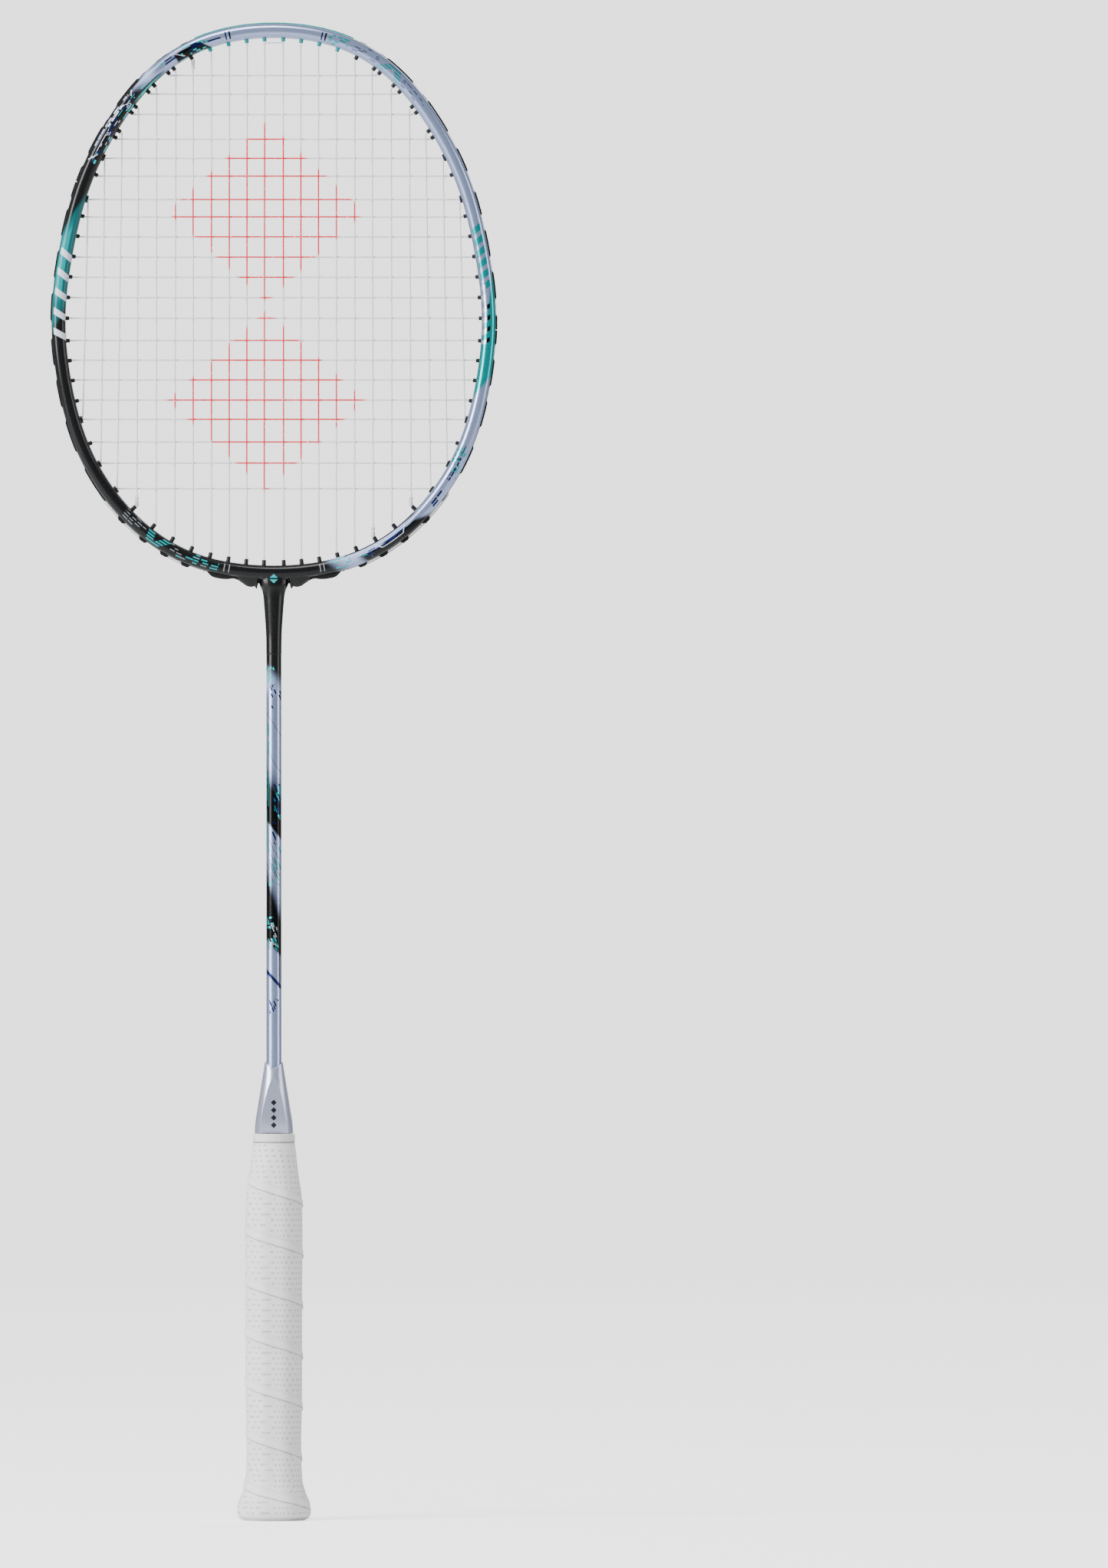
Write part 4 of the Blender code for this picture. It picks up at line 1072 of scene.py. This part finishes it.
def woven(line, others, over, end_v):
    """Points along a line that passes in front of or behind each other string in turn."""
    keys = [(0.0, end_v), (1.0, end_v)]
    for number, other in others:
        share = meeting(line, other)
        if share is not None:
            keys.append((share, WEAVE * over(number)))
    keys.sort()

    (ax, az), (bx, bz) = line
    points = []
    for (share, v), (next_share, next_v) in zip(keys, keys[1:]):
        for step in range(WEAVE_STEPS):
            t = step / WEAVE_STEPS
            at = share + (next_share - share) * t
            ease = (1 - math.cos(math.pi * t)) / 2
            points.append((ax + (bx - ax) * at, v + (next_v - v) * ease, az + (bz - az) * at))
    points.append((bx, end_v, bz))
    return points


def front_or_back(main_index, cross_number):
    """-1 where the main passes in front of the cross, 1 where it passes behind."""
    return 1 if (main_index + cross_number) % 2 else -1


def run_u(phi):
    """How high a string lies over the groove: clear of it where it bridges the raised blocks."""
    low = seat_phi("main", BRIDGE_MAINS[1], "foot") - BRIDGE_MARGIN
    high = seat_phi("main", BRIDGE_MAINS[0], "foot") + BRIDGE_MARGIN
    return BRIDGE_U if low < abs(phi) < high else RUN_U


def outer_run(start, stop, v):
    """Points outside the hoop from one seat to another."""
    count = max(2, math.ceil(abs(length_at(stop) - length_at(start)) / RUN_STEP))
    rings = sweep_rings(lambda phi: [(run_u(phi), v)], steps(start, stop, count))
    return [point for ring in rings for point in ring]


def main_path(side):
    """One half of the main string, from the crown out to its last main and back to its tie-off."""
    crosses = [(cross, cross_line(cross)) for cross in CROSS_NUMBERS]
    points = []
    last = None
    for number in range(len(MAIN_TOP_X)):
        index = number if side > 0 else -1 - number
        ends = ("top", "foot") if number % 2 == 0 else ("foot", "top")
        start, stop = [side * seat_phi("main", number, end) for end in ends]
        down = woven(main_line(index), crosses, lambda cross: front_or_back(index, cross), MAIN_V)
        if last is not None:
            points += outer_run(last, start, MAIN_V)
        points += down if ends[0] == "top" else down[::-1]
        last = stop
    return points + outer_run(last, side * seat_phi("main", TIES["right"][1], "foot"), MAIN_V)


def cross_path():
    """The cross string, from its tie-off at the crown down to its tie-off at the foot."""
    mains = [(index, main_line(index)) for index in MAIN_INDEXES]
    points = outer_run(-seat_phi("main", TIES["crown"][1], "top"), -seat_phi("cross", 0, "side"), CROSS_V)
    for number in CROSS_NUMBERS:
        side = 1 if number % 2 == 0 else -1
        phi = seat_phi("cross", number, "side")
        if number:
            points += outer_run(-side * seat_phi("cross", number - 1, "side"), -side * phi, CROSS_V)
        line = woven(cross_line(number), mains, lambda index: -front_or_back(index, number), CROSS_V)
        points += line if side > 0 else line[::-1]
    return points + outer_run(phi, seat_phi("main", TIES["foot"][1], "foot"), CROSS_V)


def string_piece(name, path, finish, node):
    tidy = [path[0]]
    for point in path[1:]:
        if math.dist(point, tidy[-1]) > 0.05 * MM:
            tidy.append(point)
    piece = loft(name, tube_rings(tidy, STRING_RADIUS, STRING_SIDES), smooth_degrees=80.0,
                 along=travelled(tidy)[:, None], around=TAU * np.arange(STRING_SIDES) / STRING_SIDES)
    settle(piece, finish, "string_nylon", node)


def make_strings(finish):
    string_piece("main_strings", main_path(-1)[::-1] + main_path(1), finish, "main_string")
    string_piece("cross_strings", cross_path(), finish, "cross_string")


def screw_rings(path, radius, sides):
    """Rings of a tube along any path, carried from point to point without twist."""
    rings = []
    side = None
    for index, point in enumerate(path):
        before, after = path[max(index - 1, 0)], path[min(index + 1, len(path) - 1)]
        tangent = (after - before).normalized()
        side = tangent.orthogonal() if side is None else side - tangent * side.dot(tangent)
        side.normalize()
        up = side.cross(tangent)
        rings.append([point + radius * (cos * side + sin * up) for cos, sin in circle(sides)])
    return rings


def make_ties(sleeve_nylon, string_nylon):
    """At each tie-off a clear sleeve and a knot of two turns round a main string."""
    up = Vector((0.0, 1.0, 0.0))
    for label, (end, number, side) in TIES.items():
        line = main_line(number if side > 0 else -1 - number)
        start, stop = [Vector((x, MAIN_V, z)) for x, z in (line if end == "top" else line[::-1])]
        way = (stop - start).normalized()
        side_way = way.cross(up)

        def place(along, radius, cos, sin):
            return start + way * along + radius * (cos * side_way + sin * up)

        rings = [[place(along, radius, *turn) for turn in circle(20)] for along, radius in SLEEVE]
        sleeve = loft("sleeve_" + label, rings, closed=True)
        settle(sleeve, sleeve_nylon, "sleeve_nylon", "tie_sleeve_" + label)
        path = []
        for turn in steps(0.0, KNOT["turns"] * TAU, 54):
            climb = KNOT["from"] + KNOT["pitch"] * turn / TAU
            path.append(place(climb, KNOT["reach"], math.cos(turn), math.sin(turn)))
        path.append(path[-1] - side_way * 0.3 * MM + way * 1.4 * MM)
        knot = loft("knot_" + label, screw_rings(path, KNOT["radius"], 8), smooth_degrees=80.0)
        settle(knot, string_nylon, "string_nylon", "tie_knot_" + label)


# ---------------------------------------------------------------- shaft and cone
def round_rings(profile, sides):
    """Rings turned about Z from (z, radius) pairs."""
    return [[(radius * cos, radius * sin, z) for cos, sin in circle(sides)] for z, radius in profile]


def make_shaft(finish):
    low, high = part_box("shaft")
    bore = SHAFT_RADIUS - SHAFT_WALL
    profile = [(z, SHAFT_RADIUS) for z in steps(low[2], high[2], 60)]
    shaft = loft("shaft_tube", round_rings([*profile, (high[2], bore), (low[2], bore)], 64), closed=True)
    settle(shaft, finish, "shaft_lacquer", "shaft")


def facet_ring(z, radius, half, lift):
    """A circle cut flat at front and back over a half width; lift raises it towards the sides."""
    flat = math.sqrt(radius ** 2 - half ** 2)
    corner = math.atan2(flat, half)
    ring = []
    for middle in (0.0, math.pi):
        for turn in steps(middle - corner, middle + corner, 26):
            ring.append((radius * math.cos(turn), radius * math.sin(turn)))
        side = 1 if middle == 0.0 else -1
        for share in steps(1.0, -1.0, 14)[1:-1]:
            ring.append((side * half * share, side * flat))
    return [(x, y, z + lift * (min(1.0, abs(x) / radius) ** 1.6 - 1.0)) for x, y in ring]


def make_cone(finish):
    foot_z, facet_z, top_z = CONE[0][0], CONE_FACET["top_z"], CONE[-1][0]
    half, bore, scallop = CONE_FACET["foot_half"], CONE_FACET["bore"], CONE_FACET["scallop"]
    edge = CONE_FACET["least_half"]
    rings = [facet_ring(foot_z, CONE[0][1] - 0.25 * MM, half - 0.2 * MM, 0.0)]
    for z, radius in eased(CONE, 60):
        lift = scallop * share_of(z, facet_z, top_z) ** 1.5
        rings.append(facet_ring(z, radius, max(edge, half * share_of(z, facet_z, foot_z) ** 0.55), lift))
    for radius, drop in ((3.85 * MM, -0.12 * MM), (3.55 * MM, 0.0), (bore, 0.4 * MM), (bore, 5.0 * MM)):
        rings.append(facet_ring(top_z - drop, radius, edge, scallop))
    rings.append(facet_ring(foot_z, bore, edge, 0.0))
    settle(loft("cone_body", rings, closed=True, smooth_degrees=14.0), finish, "cone_plastic", "cone_cap")


# ---------------------------------------------------------------- handle

def octagon_reach(turn, half_x, half_y):
    cut = CORNER_CUT * half_y
    cos, sin = abs(math.cos(turn)), abs(math.sin(turn))
    return min(half_x / max(cos, 1e-9), half_y / max(sin, 1e-9), (half_x + half_y - cut) / (cos + sin))


def soft_octagon(turn, half_x, rounding):
    """The handle's octagon with its corners rounded, or a circle at rounding 1."""
    half_y = half_x * HANDLE_HALF_Y / HANDLE_HALF_X
    shifts = steps(-CORNER_SPREAD, CORNER_SPREAD, 8)
    reach = sum(octagon_reach(turn + shift, half_x, half_y) for shift in shifts) / len(shifts)
    return reach + (half_x - reach) * rounding


def octagon_ring(z, half_x, rounding, sides):
    reaches = [soft_octagon(turn, half_x, rounding) for turn in steps(0, TAU, sides)[:-1]]
    return [(reach * cos, reach * sin, z) for reach, (cos, sin) in zip(reaches, circle(sides))]


def seam_height(over):
    """How far the tape stands out, so far above its lower edge."""
    if over < 0.0:
        return SEAM_RISE * share_of(over, -SEAM_EDGE, 0.0)
    return SEAM_RISE * (0.35 + 0.65 / (1.0 + math.exp((over - SEAM_BAND) / (0.45 * MM))))


def make_grip(finish):
    """The wound tape: a rounded octagon whose tape edges climb round it as a helix."""
    rings, over_rows, along_rows = [], [], []
    for z, half_x in eased(GRIP, 520):
        fade = math.prod(share_of(z, *span) for span in SEAM_FADES)
        ring, over_row, along_row = [], [], []
        for turn in steps(0.0, TAU, GRIP_SIDES)[:-1]:
            height = (z - SEAM_RIGHT_Z) / SEAM_PITCH + turn / TAU
            over = (height - math.floor(height)) * SEAM_PITCH
            over = over - SEAM_PITCH if over > SEAM_PITCH - SEAM_EDGE else over
            reach = soft_octagon(turn, half_x, share_of(z, *GRIP_ROUND_Z))
            reach += (seam_height(over) - 0.5 * SEAM_RISE) * fade
            ring.append((reach * math.cos(turn), reach * math.sin(turn), z))
            over_row.append(over)
            along_row.append(reach * turn)
        rings.append(ring)
        over_rows.append(over_row)
        along_rows.append(along_row)
    for z, half_x in GRIP_BORE:
        rings.append(octagon_ring(z, half_x, 1.0 if z > GRIP_ROUND_Z[1] else 0.0, GRIP_SIDES))
        over_rows.append([10.0 * MM] * GRIP_SIDES)
        along_rows.append([0.0] * GRIP_SIDES)
    grip = loft("grip_wrap_tape", rings, closed=True, smooth_degrees=60.0, over=over_rows, along=along_rows)
    settle(grip, finish, "grip_tape", "grip_wrap")


def make_band(finish):
    low, high, radius, bore = BAND["foot_z"], BAND["top_z"], BAND["radius"], BAND["bore"]
    profile = [(low, bore), (low, radius - 0.25 * MM), (low + 0.25 * MM, radius),
               (high - 0.35 * MM, radius - 0.1 * MM), (high, radius - 0.4 * MM), (high, bore)]
    band = loft("collar_band_ring", round_rings(profile, 96), closed=True)
    settle(band, finish, "band_vinyl", "collar_band")


def make_end(plastic, badge_plastic):
    """The butt's plug with a rounded rim and dished face, and its plain round badge."""
    rings = [octagon_ring(z, half, 1.0 if half < END_FACE_HALF else 0.0, 96) for z, half in END_CAP]
    settle(loft("end_cap_plug", rings), plastic, "end_plastic", "end_cap")
    badge = loft("end_badge_disc", round_rings(END_BADGE, 72))
    settle(badge, badge_plastic, "badge_plastic", "end_badge")


# ---------------------------------------------------------------- stage, light and camera
def make_floor():
    """A pale sheet round the butt that thins out into the studio's white."""
    shape = bmesh.new()
    bmesh.ops.create_grid(shape, x_segments=40, y_segments=40, size=FLOOR["half"])
    mesh = bpy.data.meshes.new("floor")
    shape.to_mesh(mesh)
    shape.free()
    paint = Paint("floor_paper", roughness=0.9)
    x, y, z = paint.place()
    paint.colour(paint.mix(paint.noise(x, y, z, 3.0, 2.0), (0.80, 0.80, 0.80), (0.82, 0.82, 0.82)))
    seen = paint.node('ShaderNodeLightPath', "Is Camera Ray", {})
    paint.put(paint.shader.inputs["Emission Color"], (1.0, 1.0, 1.0))
    paint.put(paint.shader.inputs["Emission Strength"], seen * FLOOR["glow"])
    paint.put(paint.shader.inputs["Alpha"], (x * x + y * y).root().ramp(FLOOR["clear"], FLOOR["solid"]))
    mesh.materials.append(paint.material)
    linked("floor", mesh)


def make_world():
    world = bpy.data.worlds.new("studio")
    world.use_nodes = True
    tree = world.node_tree
    back = tree.nodes["Background"]
    back.inputs["Color"].default_value = (1.0, 1.0, 1.0, 1.0)
    path = tree.nodes.new('ShaderNodeLightPath')
    blend = tree.nodes.new('ShaderNodeMapRange')
    tree.links.new(path.outputs["Is Camera Ray"], blend.inputs["Value"])
    blend.inputs["To Min"].default_value = WORLD_LIGHT
    blend.inputs["To Max"].default_value = SEEN_WHITE
    tree.links.new(blend.outputs["Result"], back.inputs["Strength"])
    bpy.context.scene.world = world


def soft_light(name, place, width, height, watts):
    data = bpy.data.lights.new(name, 'AREA')
    data.shape = 'RECTANGLE'
    data.size = width
    data.size_y = height
    data.energy = watts
    lamp = linked(name, data)
    lamp.location = place
    way = Vector(LIGHTS_AIM) - Vector(place)
    lamp.rotation_euler = way.to_track_quat('-Z', 'Y').to_euler()


def make_camera():
    data = bpy.data.cameras.new("camera")
    data.sensor_fit = 'VERTICAL'
    data.sensor_height = CAMERA["sensor"]
    data.lens = CAMERA["sensor"] * -CAMERA["place"][1] / CAMERA["seen_height"]
    data.clip_end = 200.0
    camera = linked("camera", data)
    camera.location = CAMERA["place"]
    camera.rotation_euler = (math.radians(90), 0.0, 0.0)
    bpy.context.scene.camera = camera


def main():
    make_camera()
    make_world()
    for light in LIGHTS:
        soft_light(*light)

    make_floor()
    make_hoop()
    make_joint(joint_finish())
    make_shaft(shaft_finish())
    make_cone(cone_finish())
    make_grip(grip_finish())
    make_band(band_finish())
    make_end(nylon_finish("end_plastic", (0.62, 0.62, 0.63), (0.70, 0.70, 0.71), 0.45), badge_finish())
    wood = wood_finish()
    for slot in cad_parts["handle_core"].material_slots:
        slot.material = wood
    make_grommets(nylon_finish("grommet_teal", (0.0, 0.26, 0.27), (0.02, 0.34, 0.34), 0.4),
                  nylon_finish("grommet_black", (0.006, 0.007, 0.008), (0.014, 0.015, 0.016), 0.4))
    strings = string_finish()
    make_strings(strings)
    make_ties(sleeve_finish(), strings)


main()
